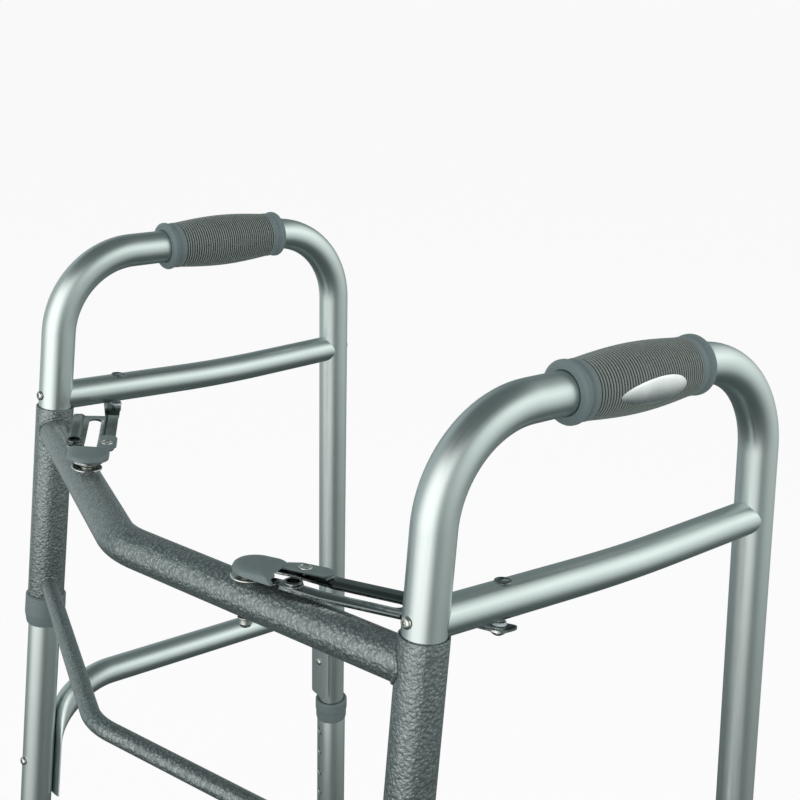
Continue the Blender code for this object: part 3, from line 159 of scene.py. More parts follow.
class WalkerTubes(bpy.types.PropertyGroup):
    """Round tube: how finely it is meshed, and its anodised finish."""

    sides: bpy.props.IntProperty(name="Sides", description="Faces round a tube", default=40, min=12)
    bend_steps: bpy.props.IntProperty(name="Bend steps", description="Rings in a bend", default=22, min=4)
    colour: colour_setting("Aluminium", "Colour of the anodised tube", (0.60, 0.67, 0.655))
    roughness: share_setting("Satin", "Roughness of the anodised tube", 0.33)


class WalkerEnamel(bpy.types.PropertyGroup):
    """Hammered enamel of the front frame."""

    dark: colour_setting("Enamel", "Ground colour of the enamel", (0.17, 0.205, 0.205))
    fleck: colour_setting("Fleck", "Colour of the metallic fleck", (0.36, 0.425, 0.42))
    dimple: length_setting("Dimple", "Width of one hammered dimple", 2.1 * MM)
    bead: length_setting("Weld bead", "Radius of the weld beads", 1.3 * MM)


class WalkerGrips(bpy.types.PropertyGroup):
    """Ribbed hand grips."""

    ribs: bpy.props.IntProperty(name="Ribs", description="Ribs on one barrel", default=42, min=8)
    rib_depth: length_setting("Rib depth", "Depth of the grooves", 0.8 * MM)
    end_radius: length_setting("End radius", "Barrel radius at its ends", 17.7 * MM)
    belly_radius: length_setting("Belly radius", "Barrel radius at its middle", 20.4 * MM)
    colour: colour_setting("Vinyl", "Colour of the ribs", (0.205, 0.245, 0.225))
    # Near-black colour painted into the grooves between the ribs: painted shade.
    groove: colour_setting("Groove", "Colour in the grooves", (0.016, 0.017, 0.015))
    flange: colour_setting("Flange", "Colour of the smooth ends", (0.14, 0.185, 0.19))
    plate_colour: colour_setting("Plate", "Colour of the blank oval plate", (0.80, 0.83, 0.82))


class WalkerHardware(bpy.types.PropertyGroup):
    """Plated steel and moulded plastic."""

    steel: colour_setting("Plated steel", "Colour of the pressed arm", (0.13, 0.155, 0.152))
    rubbed_and_highlit: colour_setting("Rubbed and highlit edge", "Colour of the pressed arm's edges", (0.86, 0.90, 0.89))
    # Near-white colour of the dark arm's edges: partly rubbed steel, partly painted highlight.
    bright: colour_setting("Bright steel", "Colour of bolts and rivets", (0.62, 0.64, 0.60))
    plastic: colour_setting("Plastic", "Colour of collars and paddles", (0.135, 0.175, 0.175))
    rubber: colour_setting("Rubber", "Colour of tyres and tips", (0.035, 0.04, 0.04))
    nylon: colour_setting("Nylon", "Colour of the spacers under the braces", (0.70, 0.78, 0.80))


class WalkerStage(bpy.types.PropertyGroup):
    """Floor, lamps and camera."""

    floor_size: length_setting("Floor size", "Edge of the floor", 120.0)
    floor_colour: colour_setting("Floor", "Colour of the floor", (0.86, 0.87, 0.87))
    whiteness: share_setting("Whiteness", "How far the floor is white rather than lit", 0.92)
    key_power: power_setting("Key", "Power of the front softbox", 42.0)
    fill_power: power_setting("Fill", "Power of the rear strip", 14.0)
    top_power: power_setting("Top", "Power of the lamp above", 16.0)


# Axes.


def frame_matrix(right, ahead, up, origin):
    """A placing matrix from its three axes and its origin."""
    matrix = Matrix.Identity(4)
    for index, column in enumerate((right, ahead, up)):
        matrix.col[index] = (*column, 0.0)
    matrix.col[3] = (*Vector(origin), 1.0)
    return matrix


def axes(x_axis, z_axis, origin):
    """A placing matrix from a Z axis and an X axis that may need squaring to it."""
    up = Vector(z_axis).normalized()
    across = Vector(x_axis)
    across = (across - up * across.dot(up)).normalized()
    return frame_matrix(across, up.cross(across), up, origin)


def facing(direction, origin):
    """A placing matrix whose Z axis is the direction."""
    turn = UP.rotation_difference(Vector(direction))
    return Matrix.Translation(origin) @ turn.to_matrix().to_4x4()


def front_leg(height):
    return Vector((0.0, FRONT_LEG_RAKE * height, height))


def rear_leg(height):
    return Vector((0.0, LEG_SPREAD - REAR_LEG_RAKE * height, height))


def extent(node, matrix):
    """Lowest and highest place of a CAD node along a matrix's Z axis, in millimetres."""
    turn = matrix.inverted()
    heights = [(turn @ vertex.co).z / MM for vertex in frame["nodes"][node].data.vertices]
    return min(heights), max(heights)


class SideAxes:
    """Axes of one side of the walker, in the row frame, and the placing of its pieces."""

    def __init__(self, name):
        self.name = name
        self.sign = SIDES[name]
        toe = Vector((self.sign * math.sin(SIDE_TOE_OUT), math.cos(SIDE_TOE_OUT), 0.0))
        outward = Vector((self.sign * math.cos(SIDE_TOE_OUT), -math.sin(SIDE_TOE_OUT), 0.0))
        up = UP * math.cos(SIDE_LEAN) - outward * math.sin(SIDE_LEAN)
        origin = SLEEVE_TOP + AHEAD * (self.sign * SIDE_SPACING / 2)
        self.plane = axes(toe.cross(up), up, origin)
        self.fold = self.plane @ Matrix.Rotation(-math.atan(FRONT_LEG_RAKE), 4, "X")
        rake = Matrix.Rotation(math.atan(REAR_LEG_RAKE), 4, "X")
        self.rear = self.plane @ Matrix.Translation(rear_leg(0.0)) @ rake
        fold_up = Vector(self.joint("front_height")["axis"]) * -1
        self.arm = axes(self.joint("stud_travel")["axis"], fold_up, self.joint("arm_swing")["pos_m"])
        low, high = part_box(self.name + "_slot_stud")
        self.pivot_along = -(self.arm.inverted() @ ((low + high) / 2)).x

    def joint(self, name):
        return JOINTS[f"{self.name}_{name}"]

    def on_arm(self, along, lateral):
        """Arm axes from a distance along the slot from the stud and one across it, rearward."""
        return Vector((along - self.pivot_along, self.sign * (lateral - PIVOT_LATERAL), 0.0))

    def extent(self, node, matrix):
        return extent(f"{self.name}_{node}", matrix)

    def add(self, label, mesh, look, body, matrix, node=None, slot=None):
        """Places a piece on one of this side's bodies, or on the front frame."""
        body = body if body == FRONT else f"{self.name}_{body}"
        stands_for = [f"{self.name}_{node}"] if node else ()
        return place(f"{self.name}_{label}", mesh, look, body, matrix, stands_for)


# Mesh tools.


def soften(points, radius, steps=4, closed=False):
    """Rounds the corners of an outline. The radius is one number, or one for each point."""
    count = len(points)
    radii = radius if isinstance(radius, (list, tuple)) else [radius] * count
    out = []
    for index, point in enumerate(points):
        here = Vector(point)
        if not closed and index in (0, count - 1) or radii[index] == 0:
            out.append(here)
            continue
        before = Vector(points[index - 1]) - here
        after = Vector(points[(index + 1) % count]) - here
        half = before.angle(after, math.pi) / 2
        reach = radii[index] / max(math.tan(half), 0.05)
        reach = min(reach, before.length * 0.48, after.length * 0.48)
        start = here + before.normalized() * reach
        end = here + after.normalized() * reach
        for step in range(steps + 1):
            share = step / steps
            out.append(start * (1 - share) ** 2 + here * (2 * share * (1 - share)) + end * share**2)
    return out


def on_circle(angle, radius, centre=(0.0, 0.0)):
    """A point of a circle in the XY plane."""
    return Vector((centre[0] + radius * math.cos(angle), centre[1] + radius * math.sin(angle)))


def arc(centre, radius, start, end, steps):
    """Points of an arc in the XY plane, angles in degrees."""
    turns = [math.radians(start + (end - start) * step / steps) for step in range(steps + 1)]
    return [on_circle(turn, radius, centre) for turn in turns]


def fillet(before, corner, after, radius, steps):
    """Points of the true arc that rounds one corner of a path."""
    to_before = (before - corner).normalized()
    to_after = (after - corner).normalized()
    half = to_before.angle(to_after) / 2
    centre = corner + (to_before + to_after).normalized() * (radius / math.sin(half))
    first = corner + to_before * (radius / math.tan(half)) - centre
    last = corner + to_after * (radius / math.tan(half)) - centre
    return [centre + first.slerp(last, step / steps) * radius for step in range(steps + 1)]


def route(corners, radii, steps):
    """A path through the corners, with each inner corner rounded."""
    path = [corners[0]]
    for index, radius in enumerate(radii, start=1):
        path += fillet(corners[index - 1], corners[index], corners[index + 1], radius, steps)
    return [*path, corners[-1]]


def spaced(path, pitch):
    """The path with extra points, so that no stretch is longer than the pitch."""
    out = [path[0]]
    for near, far in zip(path, path[1:]):
        parts = max(1, math.ceil((far - near).length / pitch))
        out += [near.lerp(far, part / parts) for part in range(1, parts + 1)]
    return out


def ring_of(centre, across, up, wide, high, sides):
    """An ellipse of points round a centre."""
    turns = [2 * math.pi * side / sides for side in range(sides)]
    return [centre + across * (wide * math.cos(turn)) + up * (high * math.sin(turn)) for turn in turns]


def middle_of(row):
    return sum(row, ORIGIN) / len(row)


def scaled(row, factor, centre=None, to=None):
    """A ring drawn in or out about its centre, which may move."""
    centre = centre or middle_of(row)
    return [(to or centre) + (point - centre) * factor for point in row]


def rows_along(path, radii, sides, closed=False):
    """Rings of points round a path. Radii is one number, or one for each point of the path."""
    count = len(path)
    radii = radii if isinstance(radii, (list, tuple)) else [radii] * count
    tangents = []
    for index in range(count):
        before = path[index - 1] if index or closed else path[0]
        after = path[(index + 1) % count] if index < count - 1 or closed else path[-1]
        tangents.append((after - before).normalized())
    across = tangents[0].orthogonal().normalized()
    rows = []
    for point, tangent, radius in zip(path, tangents, radii):
        across = (across - tangent * across.dot(tangent)).normalized()
        rows.append(ring_of(point, across, tangent.cross(across), radius, radius, sides))
    return rows


def lattice(rows, caps=True, wrap=False, smooth=40):
    """A mesh from rings of points. It keeps each point's place on the ring and along the piece."""
    count = len(rows[0])
    faces = []
    for index in range(len(rows) - (0 if wrap else 1)):
        near = index * count
        far = (index + 1) % len(rows) * count
        for side in range(count):
            after = (side + 1) % count
            faces.append((near + side, near + after, far + after, far + side))
    if caps:
        faces.append(tuple(reversed(range(count))))
        faces.append(tuple(range((len(rows) - 1) * count, len(rows) * count)))
    mesh = bpy.data.meshes.new("work")
    mesh.from_pydata([point for row in rows for point in row], [], faces)
    lay = []
    along = 0.0
    middle = middle_of(rows[0])
    for row in rows:
        centre = middle_of(row)
        along += (centre - middle).length
        middle = centre
        for side, point in enumerate(row):
            lay += [*on_circle(2 * math.pi * side / count, (point - centre).length), along]
    mesh.attributes.new("lay", "FLOAT_VECTOR", "POINT").data.foreach_set("vector", lay)
    tidy_mesh(mesh, smooth)
    return mesh


def tidy_mesh(mesh, smooth=40):
    """Welds coincident points, turns the faces outward and sets the smooth shading."""
    solid = bmesh.new()
    solid.from_mesh(mesh)
    bmesh.ops.remove_doubles(solid, verts=solid.verts, dist=1e-6)
    bmesh.ops.recalc_face_normals(solid, faces=solid.faces)
    solid.to_mesh(mesh)
    solid.free()
    mesh.shade_smooth()
    mesh.set_sharp_from_angle(angle=math.radians(smooth))


def turned(profile, steps=40, ring=False, smooth=40):
    """A solid of revolution on Z from (radius, height) points, closed on itself where it is a ring."""
    across, up = AHEAD, Vector((0.0, 1.0, 0.0))
    rows = [ring_of(UP * height, across, up, radius, radius, steps) for radius, height in profile]
    return lattice(rows, False, wrap=ring, smooth=smooth)


def in_metres(points):
    return [tuple(value * MM for value in point) for point in points]


def lathed(profile, rounding=0.0, fine=3, steps=40, ring=False, smooth=40):
    """A turned piece from a profile in millimetres. The rounding is one radius, or one for each corner."""
    radii = rounding if isinstance(rounding, (list, tuple)) else [rounding] * len(profile)
    outline = soften(in_metres(profile), [radius * MM for radius in radii], fine, closed=ring)
    return turned(outline, steps, ring, smooth)


def rod(radius, low, high, steps=28):
    """A plain round bar in millimetres, mostly to drill with."""
    return lathed([(0.0, low), (radius, low), (radius, high), (0.0, high)], steps=steps)


def prism(outline, low, high):
    """An outline in the XY plane, extruded between two heights."""
    return lattice([[Vector((point[0], point[1], height)) for point in outline] for height in (low, high)])


def onto_cylinder(row, direction, axis_point, axis, radius):
    """Slides a ring's points along a direction until they lie on a cylinder: a coped tube end."""
    axis = axis.normalized()
    run = direction - axis * direction.dot(axis)
    a = run.length_squared
    out = []
    for point in row:
        reach = point - axis_point
        flat = reach - axis * reach.dot(axis)
        b = 2 * flat.dot(run)
        c = flat.length_squared - radius**2
        root = math.sqrt(max(b * b - 4 * a * c, 0.0))
        out.append(point + direction * ((-b - root) / (2 * a)))
    return out


def place(name, mesh, look, body, matrix=None, stands_for=()):
    """Adds a finished piece, which rides on its body and stands for its CAD nodes."""
    mesh.name = name
    mesh.materials.clear()
    mesh.materials.append(finish(look))
    obj = bpy.data.objects.new(name, mesh)
    bpy.context.scene.collection.objects.link(obj)
    obj.matrix_world = matrix or STILL
    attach(obj, body)
    if stands_for:
        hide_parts(*stands_for)
    return obj


def carved(mesh, tools, smooth=40):
    """The mesh after a row of exact Booleans. Tools are (operation, mesh, matrix)."""
    scene = bpy.context.scene.collection
    obj = bpy.data.objects.new("work", mesh)
    scene.objects.link(obj)
    helpers = []
    for operation, tool_mesh, matrix in tools:
        helper = bpy.data.objects.new("tool", tool_mesh)
        scene.objects.link(helper)
        helper.matrix_world = matrix
        modifier = obj.modifiers.new("carve", "BOOLEAN")
        modifier.operation = operation
        modifier.solver = "EXACT"
        modifier.object = helper
        helpers.append(helper)
    bpy.context.view_layer.update()
    graph = bpy.context.evaluated_depsgraph_get()
    result = bpy.data.meshes.new_from_object(obj.evaluated_get(graph))
    for extra in [obj, *helpers]:
        bpy.data.objects.remove(extra, do_unlink=True)
    tidy_mesh(result, smooth)
    return result


def bevelled(obj, width, segments=2, angle=35):
    """Rounds the sharp edges of a piece."""
    modifier = obj.modifiers.new("soft edges", "BEVEL")
    modifier.width = width
    modifier.segments = segments
    modifier.limit_method = "ANGLE"
    modifier.angle_limit = math.radians(angle)
    modifier.harden_normals = True


# Shader groups.


class Nodes:
    """Adds and links nodes in one tree."""

    def __init__(self, tree):
        self.tree = tree

    def feed(self, socket, value):
        """Links a socket into another, or sets a value on it."""
        if isinstance(value, bpy.types.NodeSocket):
            self.tree.links.new(value, socket)
        else:
            socket.default_value = value

    def add(self, kind, *inputs, **values):
        """A shader node. Names with a capital are its inputs and the others are its settings."""
        node = self.tree.nodes.new("ShaderNode" + kind)
        for name, value in values.items():
            if name[0].isupper():
                self.feed(node.inputs[name.replace("_", " ")], value)
            else:
                setattr(node, name, value)
        for socket, value in zip(node.inputs, inputs):
            self.feed(socket, value)
        return node

    def ramp(self, source, stops):
        node = self.add("ValToRGB", source)
        while len(node.color_ramp.elements) < len(stops):
            node.color_ramp.elements.new(0.5)
        for element, (position, value) in zip(node.color_ramp.elements, stops):
            element.position = position
            element.color = (value, value, value, 1.0) if isinstance(value, float) else (*value, 1.0)
        return node.outputs["Color"]

    def mix(self, factor, first, second):
        node = self.add("Mix", data_type="RGBA")
        sockets = [socket for socket in node.inputs if socket.enabled]
        for socket, value in zip(sockets, (factor, first, second)):
            self.feed(socket, (*value, 1.0) if isinstance(value, tuple) else value)
        return next(socket for socket in node.outputs if socket.enabled)

    def math(self, operation, *values):
        return self.add("Math", *values, operation=operation).outputs[0]

    def vector(self, operation, *values, **named):
        return self.add("VectorMath", *values, operation=operation, **named).outputs

    def noise(self, spot, scale, detail, roughness=0.5):
        return self.add("TexNoise", Vector=spot, Scale=scale, Detail=detail, Roughness=roughness).outputs

    def bump(self, height, strength, distance):
        return self.add("Bump", Height=height, Strength=strength, Distance=distance).outputs["Normal"]

    def spot(self):
        """The place on the piece, in metres."""
        return self.add("TexCoord").outputs["Object"]

    def mirrored(self, path):
        """1 where polished metal or glass looks at the studio."""
        return self.math("MAXIMUM", path["Is Glossy Ray"], path["Is Transmission Ray"])


def group(name):
    """The shader group of that name, built the first time it is asked for."""
    found = bpy.data.node_groups.get(name)
    if found:
        return found
    build, inputs = GROUPS[name]
    tree = bpy.data.node_groups.new(name, "ShaderNodeTree")
    for label, default in inputs.items():
        socket = tree.interface.new_socket(label, in_out="INPUT", socket_type="NodeSocketFloat")
        socket.default_value = default
    nodes = Nodes(tree)
    results = build(nodes, tree.nodes.new("NodeGroupInput").outputs)
    for label in results:
        kind = "Vector" if label == "Normal" else "Float"
        tree.interface.new_socket(label, in_out="OUTPUT", socket_type="NodeSocket" + kind)
    out = tree.nodes.new("NodeGroupOutput")
    for label, socket in results.items():
        nodes.feed(out.inputs[label], socket)
    return tree


def drawn_lines(nodes, given):
    """Fine lines along a drawn tube, on the place that each mesh keeps in its lay attribute."""
    lay = nodes.add("Attribute", attribute_name="lay").outputs["Vector"]
    parts = nodes.add("SeparateXYZ", lay).outputs
    along = nodes.math("MULTIPLY", parts["Z"], given["Stretch"])
    joined = nodes.add("CombineXYZ", parts["X"], parts["Y"], along).outputs[0]
    lines = nodes.noise(joined, given["Lines"], 3.0, 0.6)["Fac"]
    return {"Mask": lines, "Normal": nodes.bump(lines, given["Depth"], 0.00005)}


def hammered(nodes, given):
    """Hammered enamel: rounded dimples with thin ridges between them, and metallic fleck."""
    spot = nodes.spot()
    warp = nodes.noise(spot, nodes.math("MULTIPLY", given["Dimples"], 0.8), 2.0)["Color"]
    moved = nodes.vector("ADD", spot, nodes.vector("SCALE", warp, Scale=0.0022)[0])[0]
    cells = nodes.add("TexVoronoi", feature="SMOOTH_F1", Vector=moved, Scale=given["Dimples"], Smoothness=0.5)
    cells = cells.outputs["Distance"]
    fine = nodes.noise(spot, nodes.math("MULTIPLY", given["Dimples"], 2.6), 3.0, 0.65)["Fac"]
    height = nodes.math("ADD", cells, nodes.math("MULTIPLY", fine, 0.2))
    return {
        "Fleck": nodes.ramp(fine, [(0.46, 0.0), (0.66, 1.0)]),
        "Ridge": nodes.ramp(cells, [(0.25, 0.0), (0.75, 1.0)]),
        "Normal": nodes.bump(height, given["Depth"], 0.0006),
    }


def moulded_grain(nodes, given):
    """Fine moulded grain of plastic and rubber, with a slow change of shade."""
    spot = nodes.spot()
    grain = nodes.noise(spot, given["Grain"], 2.0)["Fac"]
    slow = nodes.noise(spot, given["Shade"], 3.0)["Fac"]
    return {
        "Mask": grain,
        "Shade": nodes.ramp(slow, [(0.35, 0.0), (0.65, 1.0)]),
        "Normal": nodes.bump(grain, given["Depth"], 0.0001),
    }


def worn_and_highlit_edges(nodes, given):
    """A mask of convex edges, broken up by noise: partly wear from handling, partly a painted highlight along
    the edges.
    """
    patches = nodes.noise(nodes.spot(), 260.0, 4.0)["Fac"]
    edge = nodes.ramp(nodes.add("NewGeometry").outputs["Pointiness"], [(0.52, 0.0), (0.59, 1.0)])
    broken = nodes.math("MULTIPLY", edge, nodes.ramp(patches, [(0.35, 0.2), (0.6, 1.0)]))
    return {"Mask": nodes.math("MULTIPLY", broken, given["Amount"])}


GROUPS = {
    "Drawn tube lines": (drawn_lines, {"Lines": 900.0, "Stretch": 0.02, "Depth": 0.15}),
    "Hammered dimples": (hammered, {"Dimples": 430.0, "Depth": 0.6}),
    "Moulded grain": (moulded_grain, {"Grain": 1800.0, "Depth": 0.2, "Shade": 12.0}),
    "Worn edges": (worn_and_highlit_edges, {"Amount": 0.5}),
}


# Materials.


def finish(name):
    """The finish of that name, built the first time it is asked for."""
    found = bpy.data.materials.get(name)
    if found:
        return found
    material = bpy.data.materials.new(name)
    material.use_nodes = True
    paint = FINISHES[name][1]
    paint(Nodes(material.node_tree), material.node_tree.nodes["Principled BSDF"].inputs)
    return material


def effect(nodes, name, **values):
    """A shared group in a material, with its own values."""
    node = nodes.add("Group", node_tree=group(name))
    for label, value in values.items():
        node.inputs[label].default_value = value
    return node.outputs


def shades(colour, *factors):
    return [tuple(part * factor for part in colour) for factor in factors]


def hardware(name, factor=1.0):
    """A colour from the settings of the small parts, made lighter or darker."""
    return tuple(part * factor for part in getattr(bpy.context.scene.walker_hardware, name))


def roughen(nodes, shader, mask, rough, less, more):
    """Roughness that follows a mask a little to either side."""
    nodes.feed(shader["Roughness"], nodes.ramp(mask, [(0.3, rough - less), (0.7, rough + more)]))


def anodised(nodes, shader):
    settings = bpy.context.scene.walker_tubes
    lines = effect(nodes, "Drawn tube lines", Depth=0.12)
    grain = effect(nodes, "Moulded grain", Grain=2600.0, Depth=0.1, Shade=9.0)
    nodes.feed(shader["Base Color"], nodes.mix(grain["Shade"], *shades(settings.colour, 0.95, 1.03)))
    shader["Metallic"].default_value = 1.0
    roughen(nodes, shader, lines["Mask"], settings.roughness, 0.03, 0.05)
    nodes.feed(shader["Normal"], lines["Normal"])


def enamelled(nodes, shader):
    settings = bpy.context.scene.walker_enamel
    surface = effect(nodes, "Hammered dimples", Dimples=1 / settings.dimple, Depth=0.85)
    mixed = nodes.mix(surface["Fleck"], tuple(settings.dark), tuple(settings.fleck))
    nodes.feed(shader["Base Color"], nodes.mix(surface["Ridge"], mixed, *shades(settings.dark, 0.8)))
    shader["Metallic"].default_value = 0.7
    nodes.feed(shader["Roughness"], nodes.ramp(surface["Fleck"], [(0.0, 0.34), (1.0, 0.2)]))
    shader["Coat Weight"].default_value = 0.5
    shader["Coat Roughness"].default_value = 0.09
    nodes.feed(shader["Normal"], surface["Normal"])


def moulded(nodes, shader, colour, rough, grain=1800.0, depth=0.2, worn=0.25):
    surface = effect(nodes, "Moulded grain", Grain=grain, Depth=depth)
    edges = effect(nodes, "Worn edges", Amount=worn)
    # The edges are painted lighter: partly wear, partly painted highlight.
    low, high, rubbed_and_highlit = shades(colour, 0.88, 1.1, 1.7)
    base = nodes.mix(edges["Mask"], nodes.mix(surface["Shade"], low, high), rubbed_and_highlit)
    nodes.feed(shader["Base Color"], base)
    roughen(nodes, shader, surface["Mask"], rough, 0.05, 0.06)
    nodes.feed(shader["Normal"], surface["Normal"])
    return base


def vinyl(nodes, shader):
    settings = bpy.context.scene.walker_grips
    colour = moulded(nodes, shader, tuple(settings.colour), 0.5, grain=2400.0, depth=0.25, worn=0.35)
    # The grooves are darkened with painted shade, darkest at their bottoms; the smooth ends take their own
    # colour.
    for name in ("groove", "flange"):
        mask = nodes.add("Attribute", attribute_name=name).outputs["Fac"]
        colour = nodes.mix(mask, colour, tuple(getattr(settings, name)))
    nodes.feed(shader["Base Color"], colour)
    shader["Sheen Weight"].default_value = 0.1


def nylon(nodes, shader):
    moulded(nodes, shader, hardware("nylon"), 0.35, grain=1500.0, depth=0.1, worn=0.0)
    shader["Subsurface Weight"].default_value = 0.1
    shader["Subsurface Radius"].default_value = (0.002, 0.002, 0.002)


def plated(nodes, shader, colour, rough, worn, rubbed_and_highlit=None):
    surface = effect(nodes, "Moulded grain", Grain=700.0, Depth=0.12, Shade=30.0)
    edges = effect(nodes, "Worn edges", Amount=worn)
    base = nodes.mix(surface["Shade"], *shades(colour, 0.8, 1.12))
    # The edge colour is partly rubbed metal, partly painted highlight along the edges.
    rubbed_and_highlit = rubbed_and_highlit or tuple(min(part * 1.8, 0.9) for part in colour)
    nodes.feed(shader["Base Color"], nodes.mix(edges["Mask"], base, rubbed_and_highlit))
    shader["Metallic"].default_value = 1.0
    roughen(nodes, shader, surface["Mask"], rough, 0.04, 0.06)
    nodes.feed(shader["Normal"], surface["Normal"])


def plate_metal(nodes, shader):
    plated(nodes, shader, tuple(bpy.context.scene.walker_grips.plate_colour), 0.3, 0.0)


# The record's material slot of each finish, and what builds it.
FINISHES = {
    "Anodised aluminium": ("silver_tube", anodised),
    "Hammered enamel": ("hammered_paint", enamelled),
    "Ribbed vinyl": ("grip_rubber", vinyl),
    "Moulded plastic": ("grey_plastic", lambda *tree: moulded(*tree, hardware("plastic"), 0.42)),
    "Wheel plastic": ("wheel_plastic", lambda *tree: moulded(*tree, hardware("plastic", 1.35), 0.45)),
    "Tyre rubber": (
        "tyre_rubber",
        lambda *tree: moulded(*tree, hardware("rubber"), 0.7, grain=900.0, depth=0.4, worn=0.5),
    ),
    "Tip rubber": (
        "tip_rubber",
        lambda *tree: moulded(*tree, hardware("rubber", 1.6), 0.75, grain=1100.0, depth=0.35, worn=0.4),
    ),
    "Pale nylon": ("pale_nylon", nylon),
    "Pressed steel": (
        "arm_steel",
        lambda *tree: plated(*tree, hardware("steel"), 0.15, 1.0, hardware("rubbed_and_highlit")),
    ),
    "Bright steel": ("bright_steel", lambda *tree: plated(*tree, hardware("bright"), 0.22, 0.4)),
    "Blank oval plate": ("bright_steel", plate_metal),
}


# Side frames.

CUT_CHAMFER = 0.3 * MM
BORE_DEPTH = 30 * MM
BRACE_WALL = 1.4 * MM


def tube_rows(path, radius, sides, wall):
    """Rings of an open tube: its skin, its cut ends with a small chamfer, and a stretch of bore."""
    bore = radius - wall
    lip = [(BORE_DEPTH, bore), (CUT_CHAMFER, bore), (0.0, bore + CUT_CHAMFER)]
    lip += [(0.0, radius - CUT_CHAMFER), (CUT_CHAMFER, radius)]
    skin = rows_along(path, radius, sides)
    first = (path[1] - path[0]).normalized()
    last = (path[-1] - path[-2]).normalized()
    start = [scaled(skin[0], reach / radius, path[0], path[0] + first * depth) for depth, reach in lip]
    stop = [scaled(skin[-1], reach / radius, path[-1], path[-1] - last * depth) for depth, reach in lip]
    return [*start, *skin[1:-1], *reversed(stop)]


def make_side_tube(side):
    settings = bpy.context.scene.walker_tubes
    corners = [
        front_leg(-LEG_TUBE_END), front_leg(HANDLE_RISE), rear_leg(HANDLE_RISE), rear_leg(-LEG_TUBE_END),
    ]
    path = spaced(route(corners, [FRONT_BEND, REAR_BEND], settings.bend_steps), 0.05)
    tools = []
    for holder, stretch in ((side.fold, LEG_STRETCH), (side.rear, REAR_STRETCH)):
        spot = facing((0, -1, 0), Vector((0.0, 0.0, -BUTTON_DROP * stretch)))
        drill = rod(BUTTON_R + BUTTON_PLAY, 0.0, DRILL_REACH)
        tools.append(("DIFFERENCE", drill, side.plane.inverted() @ holder @ spot))
    mesh = carved(lattice(tube_rows(path, LEG_R, settings.sides, LEG_WALL)), tools)
    side.add("bent_tube", mesh, "Anodised aluminium", "side", side.plane, "side_tube")


def make_upper_brace(side):
    """Tube between the legs, coped to them at both ends."""
    kink = UPPER_BRACE_KINK
    front = front_leg(UPPER_BRACE_FRONT)
    rear = rear_leg(UPPER_BRACE_REAR)
    curve = fillet(front, kink, rear, UPPER_BRACE_BEND, 8)
    path = [front + (kink - front) * 0.12, *curve, rear + (kink - rear) * 0.12]
    rows = rows_along(spaced(path, 0.02), BRACE_R, bpy.context.scene.walker_tubes.sides)
    seat = LEG_R + 0.1 * MM
    ends = []
    leaning = rear_leg(1.0) - rear_leg(0.0)
    for row, point, axis in ((rows[0], front, front_leg(1.0)), (rows[-1], rear, leaning)):
        heading = (point - kink).normalized()
        lip = onto_cylinder(row, heading, point, axis, seat)
        bore = scaled(row, (BRACE_R - BRACE_WALL) / BRACE_R)
        near = [p.lerp(q, 0.9) for p, q in zip(row, lip)]
        ends.append([near, lip, onto_cylinder(bore, heading, point, axis, seat), bore])
    mesh = lattice([*reversed(ends[0]), *rows, *ends[1]])
    side.add("coped_brace", mesh, "Anodised aluminium", "side", side.plane, "upper_brace")


def pressed(share):
    """Half width and half depth of the lower brace's tube, from round at 0 to pressed at 1."""
    ease = eased(share, 0.0, 1.0)
    return BRACE_R + (CUP_HALF_WIDTH - BRACE_R) * ease, BRACE_R + (CUP_HALF_DEPTH - BRACE_R) * ease


def pushed_out(row, foot, rake, clear):
    """A ring with the points that lie too near a leg's axis pushed out to clear it."""
    axis = Vector((0.0, rake, 1.0)).normalized()
    out = []
    for point in row:
        reach = point - foot(0.0)
        flat = reach - axis * reach.dot(axis)
        short = max(clear - flat.length, 0.0)
        out.append(point + flat.normalized() * short)
    return out


def make_lower_brace(side):
    """Bent tube whose pressed ends cup the two legs."""
    settings = bpy.context.scene.walker_tubes
    seat = Vector((0.0, LEG_R + CUP_SEAT, 0.0))
    feet = [front_leg(LOWER_BRACE_FRONT_END) + seat, rear_leg(LOWER_BRACE_REAR_END) - seat]
    bends = [front_leg(LOWER_BRACE_FRONT) + seat, rear_leg(LOWER_BRACE_REAR) - seat]
    steps = settings.bend_steps
    fading = 0.55 * steps
    front_bend = fillet(feet[0], bends[0], bends[1], LOWER_BRACE_BEND, steps)
    rear_bend = fillet(bends[0], bends[1], feet[1], LOWER_BRACE_BEND, steps)
    stations = [(point, 1.0) for point in spaced([feet[0], front_bend[0]], 0.004)[:-1]]
    stations += [(point, 1.0 - index / fading) for index, point in enumerate(front_bend)]
    stations += [(point, 0.0) for point in spaced([front_bend[-1], rear_bend[0]], 0.02)[1:-1]]
    stations += [(point, 1.0 - (steps - index) / fading) for index, point in enumerate(rear_bend)]
    stations += [(point, 1.0) for point in spaced([rear_bend[-1], feet[1]], 0.004)[1:]]
    rows = []
    for index, (centre, share) in enumerate(stations):
        after = stations[min(index + 1, len(stations) - 1)][0]
        tangent = (after - stations[max(index - 1, 0)][0]).normalized()
        row = ring_of(centre, AHEAD, AHEAD.cross(tangent), *pressed(share), settings.sides)
        for foot, rake in ((front_leg, FRONT_LEG_RAKE), (rear_leg, -REAR_LEG_RAKE)):
            row = pushed_out(row, foot, rake, LEG_R + 0.25 * MM)
        rows.append(row)
    mesh = lattice([scaled(rows[0], 0.93), *rows, scaled(rows[-1], 0.93)], smooth=50)
    side.add("cupped_brace", mesh, "Anodised aluminium", "side", side.plane, "lower_brace")


# Grips.

GRIP_COLLAR_END = 12.0 * MM
BARREL_LENGTH = GRIP_LENGTH - 2 * GRIP_COLLAR_END
